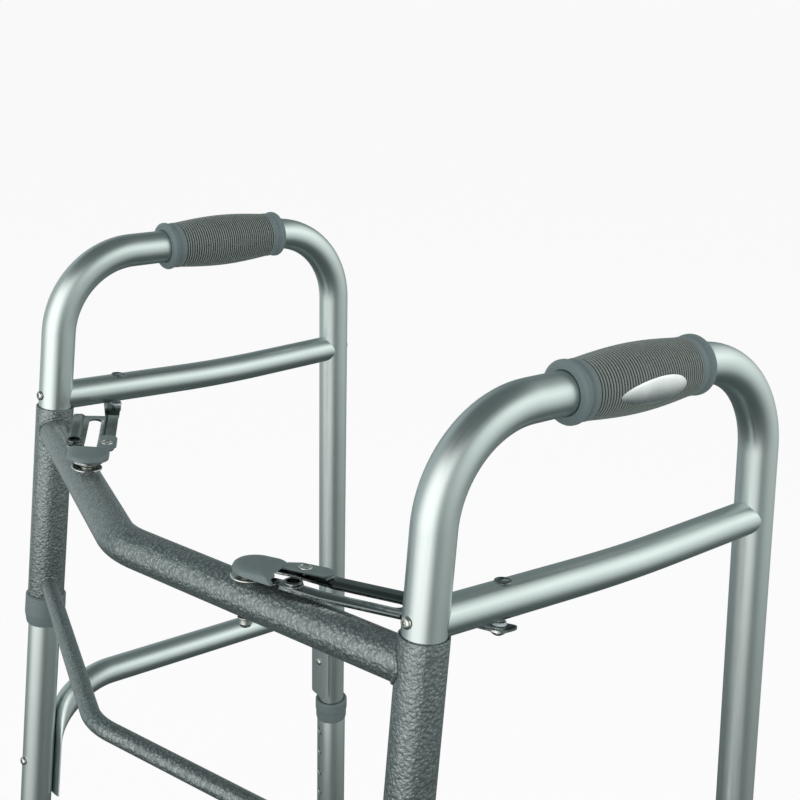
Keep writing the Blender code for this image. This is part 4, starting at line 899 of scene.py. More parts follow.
# Half of a grip's end in millimetres: bore, bead, neck and smooth collar.
GRIP_END = (
    (13.1, 0.0), (13.9, 0.0), (16.9, 0.2), (18.5, 1.6), (18.5, 3.6),
    (17.0, 5.2), (16.9, 6.6), (17.7, 8.2), (17.9, 11.2), (17.4, 12.0),
)
# Place along one rib and how far it is sunk, both as shares.
RIB_STEPS = ((0.0, 1.0), (0.30, 0.95), (0.42, 0.3), (0.52, 0.0), (0.80, 0.0), (0.90, 0.3))
SEAM_HALF_ANGLE = 0.055
SEAM_RISE = 0.1 * MM


def barrel_radius(along):
    """Radius over the crests of the ribs at a distance along the grip."""
    settings = bpy.context.scene.walker_grips
    share = (along - GRIP_COLLAR_END) / BARREL_LENGTH
    return settings.end_radius + (settings.belly_radius - settings.end_radius) * math.sin(math.pi * share)


def on_barrel(along):
    return GRIP_COLLAR_END <= along <= GRIP_LENGTH - GRIP_COLLAR_END


def grip_profile():
    """Bead, neck, smooth collar and ribbed barrel, from one end of the grip to the other."""
    settings = bpy.context.scene.walker_grips
    end = [tuple(point) for point in soften(in_metres(GRIP_END), 0.9 * MM, 4)]
    barrel = []
    for rib in range(settings.ribs):
        for spot, sink in RIB_STEPS:
            along = GRIP_COLLAR_END + BARREL_LENGTH * (rib + spot) / settings.ribs
            barrel.append((barrel_radius(along) - sink * settings.rib_depth, along))
    return [*end, *barrel, *[(radius, GRIP_LENGTH - along) for radius, along in reversed(end)]]


def make_grip(side):
    mesh = turned(grip_profile(), 88, ring=True, smooth=32)
    for vertex in mesh.vertices:
        spot = vertex.co
        around = math.atan2(spot.y, spot.x)
        seam = min(abs(math.remainder(around - turn, 2 * math.pi)) for turn in (math.pi / 2, -math.pi / 2))
        if on_barrel(spot.z) and seam < SEAM_HALF_ANGLE:
            flat = spot.xy.normalized() * (barrel_radius(spot.z) + SEAM_RISE)
            vertex.co = (*flat, spot.z)
    mark_grip(mesh)
    matrix = side.plane @ facing((0, 1, 0), Vector((0.0, GRIP_START[side.sign], HANDLE_RISE)))
    side.add("ribbed_grip", mesh, "Ribbed vinyl", "side", matrix, "grip")
    make_grip_plate(side, matrix)


def mark_grip(mesh):
    """Stores how deep each point lies below the ribs' crests, which sets the painted shade in the grooves,
    and which points are on the smooth ends.
    """
    depth = bpy.context.scene.walker_grips.rib_depth
    sunk = []
    smooth = []
    for vertex in mesh.vertices:
        spot = vertex.co
        ribbed = GRIP_COLLAR_END < spot.z < GRIP_LENGTH - GRIP_COLLAR_END
        below = barrel_radius(spot.z) - spot.xy.length if ribbed else 0.0
        sunk.append(min(max(below / depth, 0.0), 1.0) if below < 2 * depth else 0.0)
        smooth.append(0.0 if ribbed else 1.0)
    for name, values in (("groove", sunk), ("flange", smooth)):
        mesh.attributes.new(name, "FLOAT", "POINT").data.foreach_set("value", values)


PLATE_HALF_LENGTH = 26.5 * MM
PLATE_HALF_WIDTH = 7.9 * MM
PLATE_TAPER = 0.25
PLATE_CENTRE = 52.3 * MM
PLATE_TURN = math.radians(-8)
PLATE_CROWN = 0.35 * MM
PLATE_PROUD = 0.3 * MM
PLATE_SINK = 0.9 * MM
PLATE_RINGS = 9
PLATE_SIDES = 64


def make_grip_plate(side, matrix):
    """Blank oval plate let into the ribs on the outer face of the grip."""
    local = (matrix.inverted() @ side.plane).to_3x3()
    outward = (local @ AHEAD * side.sign).normalized()
    upward = (local @ UP).normalized()
    rows = []
    for ring in range(1, PLATE_RINGS + 2):
        reach = min(ring / PLATE_RINGS, 1.0)
        crown = PLATE_PROUD + PLATE_CROWN * math.sqrt(max(1 - reach**2, 0.0)) ** 0.8
        row = []
        for step in range(PLATE_SIDES):
            spot = on_circle(2 * math.pi * step / PLATE_SIDES, reach)
            along = PLATE_CENTRE + PLATE_HALF_LENGTH * spot.x
            barrel = barrel_radius(along)
            turn = PLATE_TURN + PLATE_HALF_WIDTH * spot.y * (1 + PLATE_TAPER * spot.x) / barrel
            radius = barrel - PLATE_SINK if ring > PLATE_RINGS else barrel + crown
            row.append(outward * (radius * math.cos(turn)) + upward * (radius * math.sin(turn)) + UP * along)
        rows.append(row)
    side.add("oval_plate", lattice(rows, smooth=50), "Blank oval plate", "side", matrix)


# Front frame.


def make_bar(sides, name, node, drop, middle, bend, radius, bead):
    """A bar between the sleeves, coped to them, with a weld bead round each end."""
    settings = bpy.context.scene.walker_tubes
    ends = [side.plane @ front_leg(-drop) for side in sides]
    path = spaced(route([ends[0], SLEEVE_TOP + middle, ends[1]], [bend], settings.bend_steps), 0.03)
    rows = rows_along(path, radius, settings.sides)
    for side, point, index, second in ((sides[0], ends[0], 0, 1), (sides[1], ends[1], -1, -2)):
        heading = (path[index] - path[second]).normalized()
        axis = side.fold.to_3x3() @ UP
        start = [p - heading * 0.04 for p in rows[index]]
        seam = onto_cylinder(start, heading, point, axis, SLEEVE_R)
        rows[index] = onto_cylinder(start, heading, point, axis, SLEEVE_R - 0.4 * MM)
        rows[second] = [p - heading * 0.004 for p in seam]
        make_bead(side, node + "_weld", seam, heading, bead)
    place(name, lattice(rows), "Hammered enamel", FRONT, stands_for=[node])


def make_bead(side, label, seam, heading, radius):
    """Rippled weld bead along a closed seam."""
    path = []
    for near, far in zip(seam, seam[1:] + seam[:1]):
        path += [near, near.lerp(far, 0.5)]
    path = [point - heading * (radius * 0.3) for point in path]
    radii = [
        radius * (1.0 + 0.10 * math.sin(index * 1.9) + 0.06 * math.sin(index * 0.7))
        for index in range(len(path))
    ]
    mesh = lattice(rows_along(path, radii, 12, closed=True), False, wrap=True)
    side.add(label, mesh, "Hammered enamel", FRONT, None)


def make_sleeve(side):
    """Sleeve that the front leg turns in, with the collar that carries it."""
    outer = SLEEVE_R / MM
    profile = [(SLIDE_BORE, -SLEEVE_LENGTH), (SLIDE_BORE, 0.0), (outer, 0.0), (outer, -SLEEVE_LENGTH)]
    mesh = lathed(profile, [0.1, 0.25, 0.7, 0.3], 4, 64, ring=True)
    side.add("enamelled_sleeve", mesh, "Hammered enamel", FRONT, side.fold, "sleeve")
    low = -SLEEVE_LENGTH - GAP
    collar = [
        (SLIDE_BORE, low - 26), (SLIDE_BORE, low), (14.6, low), (15.9, low - 1.4),
        (16.0, low - 17), (14.7, low - 24.5), (14.2, low - 26),
    ]
    mesh = lathed(collar, [0.1, 0.3, 0.5, 0.9, 3.0, 2.0, 0.6], 5, 64, ring=True)
    side.add("sleeve_foot", mesh, "Moulded plastic", "side", side.fold, "sleeve_collar")


# Fasteners, in millimetres.

LEG_THICKNESS = 2 * LEG_R / MM
SCREW_LIFT = 3.8 * MM
SCREW_SHANK = 2.6
TAIL_SHANK = 2.2


def rivet_head(radius, height, hollow=0.42):
    """Profile of a domed head with a round recess in its crown, from the crown out to the seat."""
    recess = radius * hollow
    points = [(0.0, height * 0.45), (recess * 0.85, height * 0.45), (recess, height * 0.95)]
    for step in range(1, 7):
        angle = math.radians(90 - 15 * step)
        points.append((recess + (radius - recess) * math.cos(angle), height * math.sin(angle) ** 0.9))
    return points


def make_fastener(side, label, node, matrix, head, shank, length, body="side"):
    tail = [(shank, -0.05), (shank, -length), (shank * 0.8, -length - 0.4), (0.0, -length - 0.4)]
    side.add(label, lathed([*head, *tail], steps=32), "Bright steel", body, matrix, node)


def make_side_fasteners(side):
    seat = LEG_R + 0.1 * MM
    for label, holder, height, outward, grip in (
        ("front_screw", side.fold, 0.0057 * LEG_STRETCH + SCREW_LIFT, -1, 15.5),
        ("rear_screw", side.rear, 0.0046 * REAR_STRETCH, 1, 15.5),
        ("front_rivet", side.fold, -0.315 * LEG_STRETCH, -1, 2.8),
        ("rear_rivet", side.rear, -0.327 * REAR_STRETCH, 1, 2.8),
    ):
        matrix = holder @ facing((0, outward, 0), Vector((0.0, outward * seat, height)))
        head = rivet_head(3.7, 2.2)
        depth = LEG_THICKNESS + grip
        make_fastener(side, label + "_head", "brace_" + label, matrix, head, SCREW_SHANK, depth)
        if label.endswith("rivet"):
            back = Vector((0.0, -outward * (seat + CUP_SEAT + CUP_HALF_DEPTH), height))
            matrix = holder @ facing((0, -outward, 0), back)
            tail = rivet_head(3.6, 1.5, hollow=0.3)
            make_fastener(side, label + "_tail", None, matrix, tail, TAIL_SHANK, 1.5)


# Folding arms.

PIVOT_LATERAL = 13.0 * MM
ARM_SHEET = 1.5 * MM
ARM_HALF = 17.0 * MM
TONGUE_HALF = 11.0 * MM
TONGUE_CENTRE = 4.9 * MM
RAIL_START = 24 * MM
REAR_RAIL_START = 45 * MM
RAIL_RUN = 3 * MM
RAIL_END = (102 * MM, 126 * MM)
RAIL_HEIGHT = 1.5 * MM
RAMP = (28 * MM, 53 * MM)
DROP = (104 * MM, 117 * MM)
UPPER_LEVEL = -0.55 * MM
MIDDLE_LEVEL = -2.35 * MM
SLOT_HALF = 4.5 * MM
SLOT_SPAN = (-4.7 * MM, 97 * MM)
PIVOT_LUG = 9.5 * MM
END_LIFT = 2.0 * MM
RELIEF_SLOPE = 0.085
PLATE_EDGE = 9.0 * MM
PLATE_CORNER = 4.8 * MM
HINGE_ALONG = 33 * MM
RIVET_ALONG = 31 * MM
RIVET_LATERAL = 11.6 * MM
BUSH_ALONG = 34 * MM
BUSH_LATERAL = -11.5 * MM

# Studs and bolts of the arms, in millimetres.
COLLAR_R = 5.9
WASHER_R = 10.6
WASHER_SINK = 1.35
STUD_HEAD = 1.2
STUD_HEAD_R = 5.0
ARM_HOLE_R = 3.4


def eased(value, start, end):
    """0 before the start and 1 after the end, with a smooth rise between."""
    share = min(max((value - start) / (end - start), 0.0), 1.0)
    return share * share * (3 - 2 * share)


def arm_level(along, low_level):
    """Height of the arm's underside: level tongue, ramp to the middle, then the drop to the brace."""
    ramp = min(max((along - RAMP[0]) / (RAMP[1] - RAMP[0]), 0.0), 1.0)
    middle = UPPER_LEVEL + (MIDDLE_LEVEL - UPPER_LEVEL) * ramp
    return middle + (low_level - MIDDLE_LEVEL) * eased(along, *DROP)


def arm_section(along):
    """Cross-section of the pressed arm as (lateral, height): a flat plate with a raised rail at each side."""
    sheet = ARM_SHEET / MM
    fading = (1 - eased(along, *RAIL_END)) * RAIL_HEIGHT / MM
    near = fading * eased(along, RAIL_START, RAIL_START + RAIL_RUN)
    far = fading * eased(along, REAR_RAIL_START, REAR_RAIL_START + RAIL_RUN)
    wide = ARM_HALF / MM - 0.05
    top = [
        (-wide, sheet + near - 0.9), (-wide + 0.3, sheet + near), (-10.3, sheet + near), (-8.5, sheet),
        (7.5, sheet), (9.3, sheet + far), (wide - 0.3, sheet + far), (wide, sheet + far - 0.9),
    ]
    under = [
        (wide - 1.4, 0.0), (14.4, 0.0), (14.1, far), (10.2, far), (8.4, 0.0),
        (-9.4, 0.0), (-11.1, near), (-14.1, near), (-14.4, 0.0), (-wide + 1.4, 0.0),
    ]
    return [*soften(in_metres(top), 0.3 * MM, 3), *soften(in_metres(under), 0.3 * MM, 2)]


def arm_outline(side):
    """Plan of the arm: round tongue, full width, and a low end cut back behind the crossbar."""
    pivot = Vector((side.pivot_along, PIVOT_LATERAL))
    slot_turn = side.arm.to_3x3() @ AHEAD
    rearward = side.plane.to_3x3() @ Vector((0.0, 1.0, 0.0))
    across = side.arm.to_3x3() @ Vector((0.0, side.sign, 0.0))
    brace = Vector((rearward.dot(slot_turn), rearward.dot(across))).normalized()
    edge = pivot + Vector((brace.y, -brace.x)) * PLATE_EDGE
    relief = pivot - Vector((0.0, PIVOT_LUG))
    slope = Vector((1.0, -RELIEF_SLOPE))
    gap = edge - relief
    turn = slope.x * brace.y - slope.y * brace.x
    low = relief + slope * ((gap.x * brace.y - gap.y * brace.x) / turn)
    high = edge + brace * ((ARM_HALF - edge.y) / brace.y)
    start = relief + slope * (DROP[0] + 2 * MM - relief.x)
    tongue = arc((TONGUE_CENTRE, 0.0), TONGUE_HALF, 90, 270, 24)
    corners = [
        (RAIL_START - 1 * MM, -TONGUE_HALF), (RAIL_START + 4 * MM, -ARM_HALF), (DROP[0] - 2 * MM, -ARM_HALF),
        start, low, high, (RAIL_START + 4 * MM, ARM_HALF), (RAIL_START - 1 * MM, TONGUE_HALF),
    ]
    radii = [1.5 * MM, 2.5 * MM, 4 * MM, 2.5 * MM, PLATE_CORNER, PLATE_CORNER, 2.5 * MM, 1.5 * MM]
    rounded = soften([*tongue, *corners], [0.0] * len(tongue) + radii, 6, closed=True)
    return [side.on_arm(p[0], p[1]) for p in rounded]


def lower_level(side):
    """Height of the arm's underside at its pivot, in arm axes."""
    return side.extent("arm", side.arm)[0] * MM + END_LIFT


def make_arm(side):
    low_level = lower_level(side)
    alongs = [-16 * MM, RAIL_START - 2 * MM]
    alongs += [RAIL_START + step * 0.75 * MM for step in range(5)]
    alongs += [RAMP[0] + step * 4 * MM for step in range(5)]
    alongs += [REAR_RAIL_START + step * 0.75 * MM for step in range(5)]
    alongs += [RAMP[1], RAIL_END[0]]
    alongs += [DROP[0] + (DROP[1] - DROP[0]) * step / 10 for step in range(11)]
    alongs += [RAIL_END[1] - 5 * MM, RAIL_END[1], side.pivot_along + 22 * MM]
    rows = []
    for along in alongs:
        level = arm_level(along, low_level)
        section = arm_section(along)
        rows.append([side.on_arm(along, lateral) + UP * (level + height) for lateral, height in section])
    bottom = low_level - 20 * MM
    top = UPPER_LEVEL + 30 * MM
    slot = arc((SLOT_SPAN[1] - SLOT_HALF, 0.0), SLOT_HALF, -90, 90, 12)
    slot += arc((SLOT_SPAN[0] + SLOT_HALF, 0.0), SLOT_HALF, 90, 270, 12)
    pivot = low_level / MM
    tools = [
        ("INTERSECT", prism(arm_outline(side), bottom, top), STILL),
        ("UNION", stud_collar(), Matrix.Translation(side.on_arm(0.0, 0.0))),
        ("DIFFERENCE", prism([side.on_arm(*p) for p in slot], bottom, top), STILL),
        ("DIFFERENCE", rod(ARM_HOLE_R, pivot - 10, pivot + 10, 24), STILL),
    ]
    mesh = carved(lattice(rows), tools, smooth=38)
    obj = side.add("pressed_arm", mesh, "Pressed steel", "arm_body", side.arm, "arm")
    bevelled(obj, 0.45 * MM, segments=3)


def stud_collar():
    """Thin ring under the tongue, round the slot's end."""
    low = UPPER_LEVEL / MM - 0.35
    top = (UPPER_LEVEL + ARM_SHEET / 2) / MM
    return lathed([(0.0, top), (COLLAR_R, top), (COLLAR_R, low), (0.0, low)], 0.35)


def make_crossbar_stud(side):
    """Washer on the crossbar, with the through bolt and its cap nut below."""
    bottom, top = side.extent("crossbar_stud", side.fold)
    top -= WASHER_SINK
    seat = top - 1.5
    under = bottom + 7.0
    profile = [
        (0.0, top), (WASHER_R - 0.8, top), (WASHER_R, top - 0.5), (WASHER_R, seat + 0.1),
        (WASHER_R - 1.2, seat), (2.6, seat), (2.6, under), (4.8, under), (4.9, under - 0.7),
        (3.8, under - 1.2), (3.8, under - 4.2), (3.3, under - 5.9), (1.9, under - 6.8), (0.0, bottom),
    ]
    stud = side.fold.inverted() @ (side.arm @ side.on_arm(0.0, 0.0))
    matrix = side.fold @ Matrix.Translation((stud.x, stud.y, 0.0))
    side.add("bar_bolt", lathed(profile, 0.4), "Bright steel", FRONT, matrix, "crossbar_stud")


def make_slot_stud(side):
    head = (UPPER_LEVEL + ARM_SHEET) / MM + 0.3
    foot = MIDDLE_LEVEL / MM - 0.1
    profile = [
        (0.0, head + STUD_HEAD), (2.8, head + STUD_HEAD), (STUD_HEAD_R - 0.1, head + STUD_HEAD / 2),
        (STUD_HEAD_R, head), (4.0, head), (4.0, foot), (0.0, foot),
    ]
    matrix = side.arm @ Matrix.Translation(side.on_arm(0.0, 0.0))
    side.add("headed_stud", lathed(profile, 0.8, 4), "Bright steel", "stud_body", matrix, "slot_stud")


def make_pivot(side):
    """Bolt through the brace, its pale spacer and the nut below the arm."""
    plate = lower_level(side) / MM
    bottom, top = side.extent("pivot_bolt", side.arm)
    dome = top - 1.45
    bottom += 2.5
    profile = [
        (0.0, dome), (3.7, dome), (4.1, dome + 0.5), (4.8, dome + 0.4), (5.2, dome - 0.3), (5.2, dome - 1.8),
        (3.0, dome - 1.9), (3.0, plate - 0.3), (4.2, plate - 0.3), (4.2, bottom + 1.6), (2.4, bottom + 0.3),
        (0.0, bottom),
    ]
    mesh = lathed(profile, 0.45)
    side.add("arm_pivot", mesh, "Pressed steel", "side", side.arm, "pivot_bolt", "bright_steel")
    high = side.extent("pivot_spacer", side.arm)[1]
    low = plate + ARM_SHEET / MM + 0.1
    ring = [(3.2, low), (3.2, high), (4.4, high), (4.1, (low + high) / 2), (4.6, low + 0.4), (4.6, low)]
    mesh = lathed(ring, 0.3, ring=True)
    side.add("brace_spacer", mesh, "Pale nylon", "side", side.arm, "pivot_spacer")


def make_bush(side):
    """Two-ring hollow bush on the front rail."""
    seat = (arm_level(BUSH_ALONG, 0.0) + ARM_SHEET + RAIL_HEIGHT) / MM - 0.8
    profile = [
        (3.9, -2.2), (3.9, 3.5), (4.5, 3.9), (5.6, 3.2), (5.7, 2.4), (5.0, 2.0),
        (6.1, 1.6), (6.1, 0.5), (5.2, 0.0), (4.6, -0.5), (4.6, -2.2),
    ]
    mesh = lathed([(radius, seat + height) for radius, height in profile], 0.3, ring=True)
    matrix = side.arm @ Matrix.Translation(side.on_arm(BUSH_ALONG, BUSH_LATERAL))
    side.add("rail_bush", mesh, "Pressed steel", "arm_body", matrix, "arm_eyelet", "bright_steel")


# Release paddle.

PAD_CENTRE = 5.4 * MM
PAD_R = 14.5 * MM
PAD_END = 22.0 * MM
PAD_RIM = 1.7 * MM
PAD_RIM_FALL = 3.0 * MM
# Height, inset and end set back in millimetres, from the hollow's ceiling, round the rim and up to the crown.
PAD_LAYERS = (
    (4.7, 9.0, 12.0), (4.5, 2.8, 8.0), (3.6, 1.9, 6.4), (1.6, 1.5, 2.4), (1.3, 1.3, 2.0), (1.3, 0.5, 0.2),
    (1.65, 0.1, 0.0), (2.6, 0.2, 2.6), (4.0, 0.9, 4.8), (5.0, 2.2, 6.4), (5.7, 4.2, 7.6), (6.1, 7.5, 8.9),
    (6.3, 11.0, 12.5),
)
LEVER_INNER = 6.0 * MM
LEVER_NOSE_R = 6.3 * MM
LEVER_TOP = 3.3
# Height of the lever's rings and how far each is drawn in, in millimetres.
LEVER_LAYERS = ((1.4, 0.5), (1.8, 0.0), (2.5, 0.0), (3.1, 0.35), (LEVER_TOP, 1.0))


def pad_ring(height, inset, cut_back):
    """The pad's D-shaped outline at one height, in distances along and across the slot."""
    radius = PAD_R - inset
    end = PAD_END - cut_back
    corner = min(2.0 * MM, radius * 0.3)
    nose = arc((PAD_CENTRE, 0.0), radius, 90, 270, 40)
    outline = [*nose, (end, -radius), (end, radius)]
    rounded = soften(outline, [0.0] * len(nose) + [corner, corner], 5, closed=True)
    back = PAD_CENTRE - PAD_R
    fall = PAD_RIM_FALL / (PAD_END - back) if height < PAD_RIM else 0.0
    return [(p[0], p[1], height - fall * (p[0] - back)) for p in rounded]


def make_pad(side, zero):
    rows = [pad_ring(*layer) for layer in in_metres(PAD_LAYERS)]
    return lattice([[side.on_arm(p[0], p[1]) + UP * (zero + p[2]) for p in row] for row in rows], smooth=60)


def make_lever(side, zero):
    """Flat lever with a round nose, in a pile of rings."""
    start = PAD_END - 4.0 * MM
    nose = (HINGE_ALONG + 9.4 * MM, LEVER_INNER + LEVER_NOSE_R)
    plan = [(start, LEVER_INNER), (nose[0] - 6 * MM, LEVER_INNER), *arc(nose, LEVER_NOSE_R, -75, 90, 20)]
    plan += [(start + 8 * MM, nose[1] + LEVER_NOSE_R), (start, PAD_R - 0.6 * MM)]
    centre = Vector(((start + nose[0]) / 2, nose[1]))
    rows = []
    for height, inset in in_metres(LEVER_LAYERS):
        row = []
        for point in plan:
            offset = Vector(point) - centre
            spot = centre + offset * (1 - inset / max(offset.length, 4 * MM))
            row.append(side.on_arm(spot.x, spot.y) + UP * (zero + height))
        rows.append(row)
    return lattice(rows, smooth=50)


def make_paddle(side):
    """Hollow thumb pad with a crowned top and a sloped end, and a flat lever beside it."""
    zero = UPPER_LEVEL + ARM_SHEET
    rivet = side.on_arm(RIVET_ALONG, RIVET_LATERAL)
    tools = [("UNION", make_lever(side, zero), STILL)]
    near, far = PAD_END - 9 * MM, PAD_END + 6 * MM
    for half, top in ((STUD_HEAD_R * MM + 0.9 * MM, 2.7 * MM), (TONGUE_HALF + 0.7 * MM, 1.5 * MM)):
        corners = [side.on_arm(*spot) for spot in ((near, -half), (far, -half), (far, half), (near, half))]
        tools.append(("DIFFERENCE", prism(corners[:: side.sign], zero - 10 * MM, zero + top), STILL))
    tools.append(("DIFFERENCE", rod(ARM_HOLE_R, -10, 40), Matrix.Translation(rivet)))
    mesh = carved(make_pad(side, zero), tools, smooth=38)
    side.add("thumb_paddle", mesh, "Moulded plastic", "paddle_body", side.arm, "release_paddle")
    matrix = side.arm @ Matrix.Translation(rivet + UP * (zero + (LEVER_TOP + 0.15) * MM))
    head = rivet_head(4.3, 0.9, hollow=0.7)
    make_fastener(side, "lever_rivet", "paddle_rivet", matrix, head, 2.0, 5.4, "arm_body")


# Leg extensions.

AXLE_HOLE_R = 4.3


def make_extension(side, end, holder, stretch):
    """Outer leg tube with its row of holes, the collar on its top and the snap button."""
    low, high = side.extent(f"{end}_extension", holder)
    profile = [(SLIDE_BORE, high), (EXTENSION_R, high), (EXTENSION_R, low), (SLIDE_BORE, low)]
    tools = []
    for index in range(HOLE_COUNT):
        drop = (FIRST_HOLE_DROP + index * HOLE_PITCH) * stretch
        spot = facing((0, -1, 0), Vector((0.0, 0.0, -drop)))
        tools.append(("DIFFERENCE", rod(HOLE_R, 0.0, DRILL_REACH), spot))
    button = spot
    if end == "front":
        across = holder.inverted().to_3x3() @ AHEAD
        axle = holder.inverted() @ Vector(side.joint("wheel_spin")["pos_m"])
        tools.append(("DIFFERENCE", rod(AXLE_HOLE_R, -DRILL_REACH, DRILL_REACH), facing(across, axle)))
    mesh = carved(lathed(profile, [0.2, 0.6, 0.6, 0.2], 3, 48, ring=True), tools, smooth=30)
    side.add(f"{end}_leg_tube", mesh, "Anodised aluminium", f"{end}_leg", holder, f"{end}_extension")
    top = high + 4 * stretch
    fit = EXTENSION_R + 0.3
    collar = [
        (SLIDE_BORE, high + GAP), (SLIDE_BORE, top), (15.2, top), (16.0, top - 1.2), (16.0, top - 11),
        (15.4, top - 12), (15.3, top - 20), (14.9, top - 22), (fit, top - 22), (fit, high + GAP),
    ]
    mesh = lathed(collar, 0.5, 4, 56, ring=True)
    side.add(f"{end}_leg_collar", mesh, "Moulded plastic", f"{end}_leg", holder, f"{end}_collar")
    face = EXTENSION_R + 1.2
    profile = [(0.0, face), (2.4, face), (BUTTON_R, face - 1.4), (BUTTON_R, 9.0), (0.0, 9.0)]
    mesh = lathed(profile, 1.0, 5, 32)
    side.add(f"{end}_snap_button", mesh, "Bright steel", f"{end}_snap", holder @ button, f"{end}_button")


def make_leg_ends(side):
    make_extension(side, "front", side.fold, LEG_STRETCH)
    make_extension(side, "rear", side.rear, REAR_STRETCH)
    make_rubber_tip(side)


TIP_BANDS = 3
TIP_BAND_PITCH = 4.2


def make_rubber_tip(side):
    """Ribbed cup foot, cut level with the floor."""
    holder = side.rear
    up = holder.to_3x3() @ UP
    floor = -holder.translation.z / up.z / MM
    top = floor + 46
    bore = EXTENSION_R + 0.4
    profile = [
        (bore, floor + 9), (bore, top), (16.4, top), (17.2, top - 1), (17.2, top - 5.4), (16.4, top - 6.4),
    ]
    radii = [0.3, 0.4, 0.5, 0.5, 0.5, 0.4]
    for band in range(TIP_BANDS):
        at = top - 9.5 - band * TIP_BAND_PITCH
        profile += [(16.4, at), (17.0, at - 0.6), (17.0, at - 1.6), (16.4, at - 2.2)]
        radii += [0.3] * 4
    profile += [
        (16.6, floor + 20), (19.2, floor + 9.5), (20.0, floor + 6.5), (20.0, floor - 4), (0.0, floor - 4),
        (0.0, floor + 9),
    ]
    radii += [4.0, 3.0, 1.5, 0.0, 0.0, 0.0]
    mesh = lathed(profile, radii, 4, 56, ring=True)
    ground = prism([(-0.6, -0.6), (0.6, -0.6), (0.6, 0.8), (-0.6, 0.8)], -0.1, 0.0)
    mesh = carved(mesh, [("DIFFERENCE", ground, holder.inverted())], smooth=35)
    side.add("ribbed_foot", mesh, "Tip rubber", "rear_leg", holder, "rubber_tip")


# Wheels, in millimetres.

WHEEL_R = 63.5
TYRE_HALF = 12.0
HUB_R = 51.0
HUB_RIM = HUB_R - 4.5
HUB_BOSS = 12.5
HUB_WEB = 2.2
WINDOWS = 5
# One side of the tyre from its bore out to the tread: radius, and share of the half width.
TYRE_SIDE = (
    (HUB_R + 0.3, 0.8), (55.0, 0.98), (59.2, 1.0), (60.8, 0.86),
    (61.4, 0.9), (62.9, 0.62), (62.5, 0.5), (63.3, 0.42),
)
TYRE_ROUNDING = [0.4, 1.5, 1.5, 0.3, 0.3, 1.2, 0.3, 0.5]
# One face of the hub from the boss out to the rim: radius, and height from the wheel's middle.
HUB_FACE = (
    (11.0, TYRE_HALF + 1), (HUB_BOSS, TYRE_HALF - 2), (HUB_BOSS + 1.5, HUB_WEB), (HUB_RIM - 1.5, HUB_WEB),
    (HUB_RIM, TYRE_HALF * 0.72), (HUB_R, TYRE_HALF * 0.72),
)
WINDOW = ((-11.5, -4.2), (12.0, -13.0), (12.0, 13.0), (-11.5, 4.2))
WINDOW_ROUNDING = [3.2 * MM, 5.0 * MM, 5.0 * MM, 3.2 * MM]
SPOKE = ((HUB_BOSS - 2, -1.6), (HUB_RIM + 1, -1.2), (HUB_RIM + 1, 1.2), (HUB_BOSS - 2, 1.6))


def both_faces(half, middle):
    """A profile from a list of one face and the same list mirrored in the wheel's middle."""
    return [(radius, middle + height) for radius, height in half], [
        (radius, middle - height) for radius, height in reversed(half)
    ]


def make_wheel(side):
    """Solid tyre with shoulder lines, windowed hub, axle bolt and nut."""
    spin = side.joint("wheel_spin")["pos_m"]
    matrix = axes(UP, AHEAD * side.sign, spin)
    low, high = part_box(side.name + "_tyre")
    middle = (abs((low.x + high.x) / 2) - abs(spin[0])) / MM
    near, far = both_faces([(radius, -TYRE_HALF * share) for radius, share in TYRE_SIDE], middle)
    profile = [*near, (WHEEL_R, middle), *far]
    mesh = lathed(profile, [*TYRE_ROUNDING, 8.0, *reversed(TYRE_ROUNDING)], 4, 112, ring=True)
    side.add("solid_tyre", mesh, "Tyre rubber", "wheel", matrix, "tyre")

    inner = side.extent("wheel_hub", matrix)[0]
    outer, hidden = both_faces(HUB_FACE, middle)
    profile = [(AXLE_HOLE_R, middle + TYRE_HALF + 1), *outer, *hidden, (8.0, inner), (AXLE_HOLE_R, inner)]
    mesh = lathed(profile, 1.0, 4, 96, ring=True)
    tools = []
    reach = ((HUB_RIM + HUB_BOSS) / 2 + 0.4) * MM
    window = soften(in_metres(WINDOW), WINDOW_ROUNDING, 7, closed=True)
    for index in range(WINDOWS):
        turn = Matrix.Rotation(2 * math.pi * index / WINDOWS, 4, "Z")
        cutter = prism(window, (middle - 10) * MM, (middle + 10) * MM)
        tools.append(("DIFFERENCE", cutter, turn @ Matrix.Translation((reach, 0.0, 0.0))))
    rib_half = TYRE_HALF * 0.55
    for index in range(WINDOWS):
        turn = Matrix.Rotation(2 * math.pi * (index + 0.5) / WINDOWS, 4, "Z")
        rib = prism(in_metres(SPOKE), (middle - rib_half) * MM, (middle + rib_half) * MM)
        tools.append(("UNION", rib, turn))
    mesh = carved(mesh, tools, smooth=32)
    obj = side.add("windowed_hub", mesh, "Wheel plastic", "wheel", matrix, "wheel_hub")
    bevelled(obj, 0.35 * MM)
    make_axle(side, matrix)


NUT_R = 7.8
NUT_WASHER_R = 8.2
NUT_BORE = 4.15


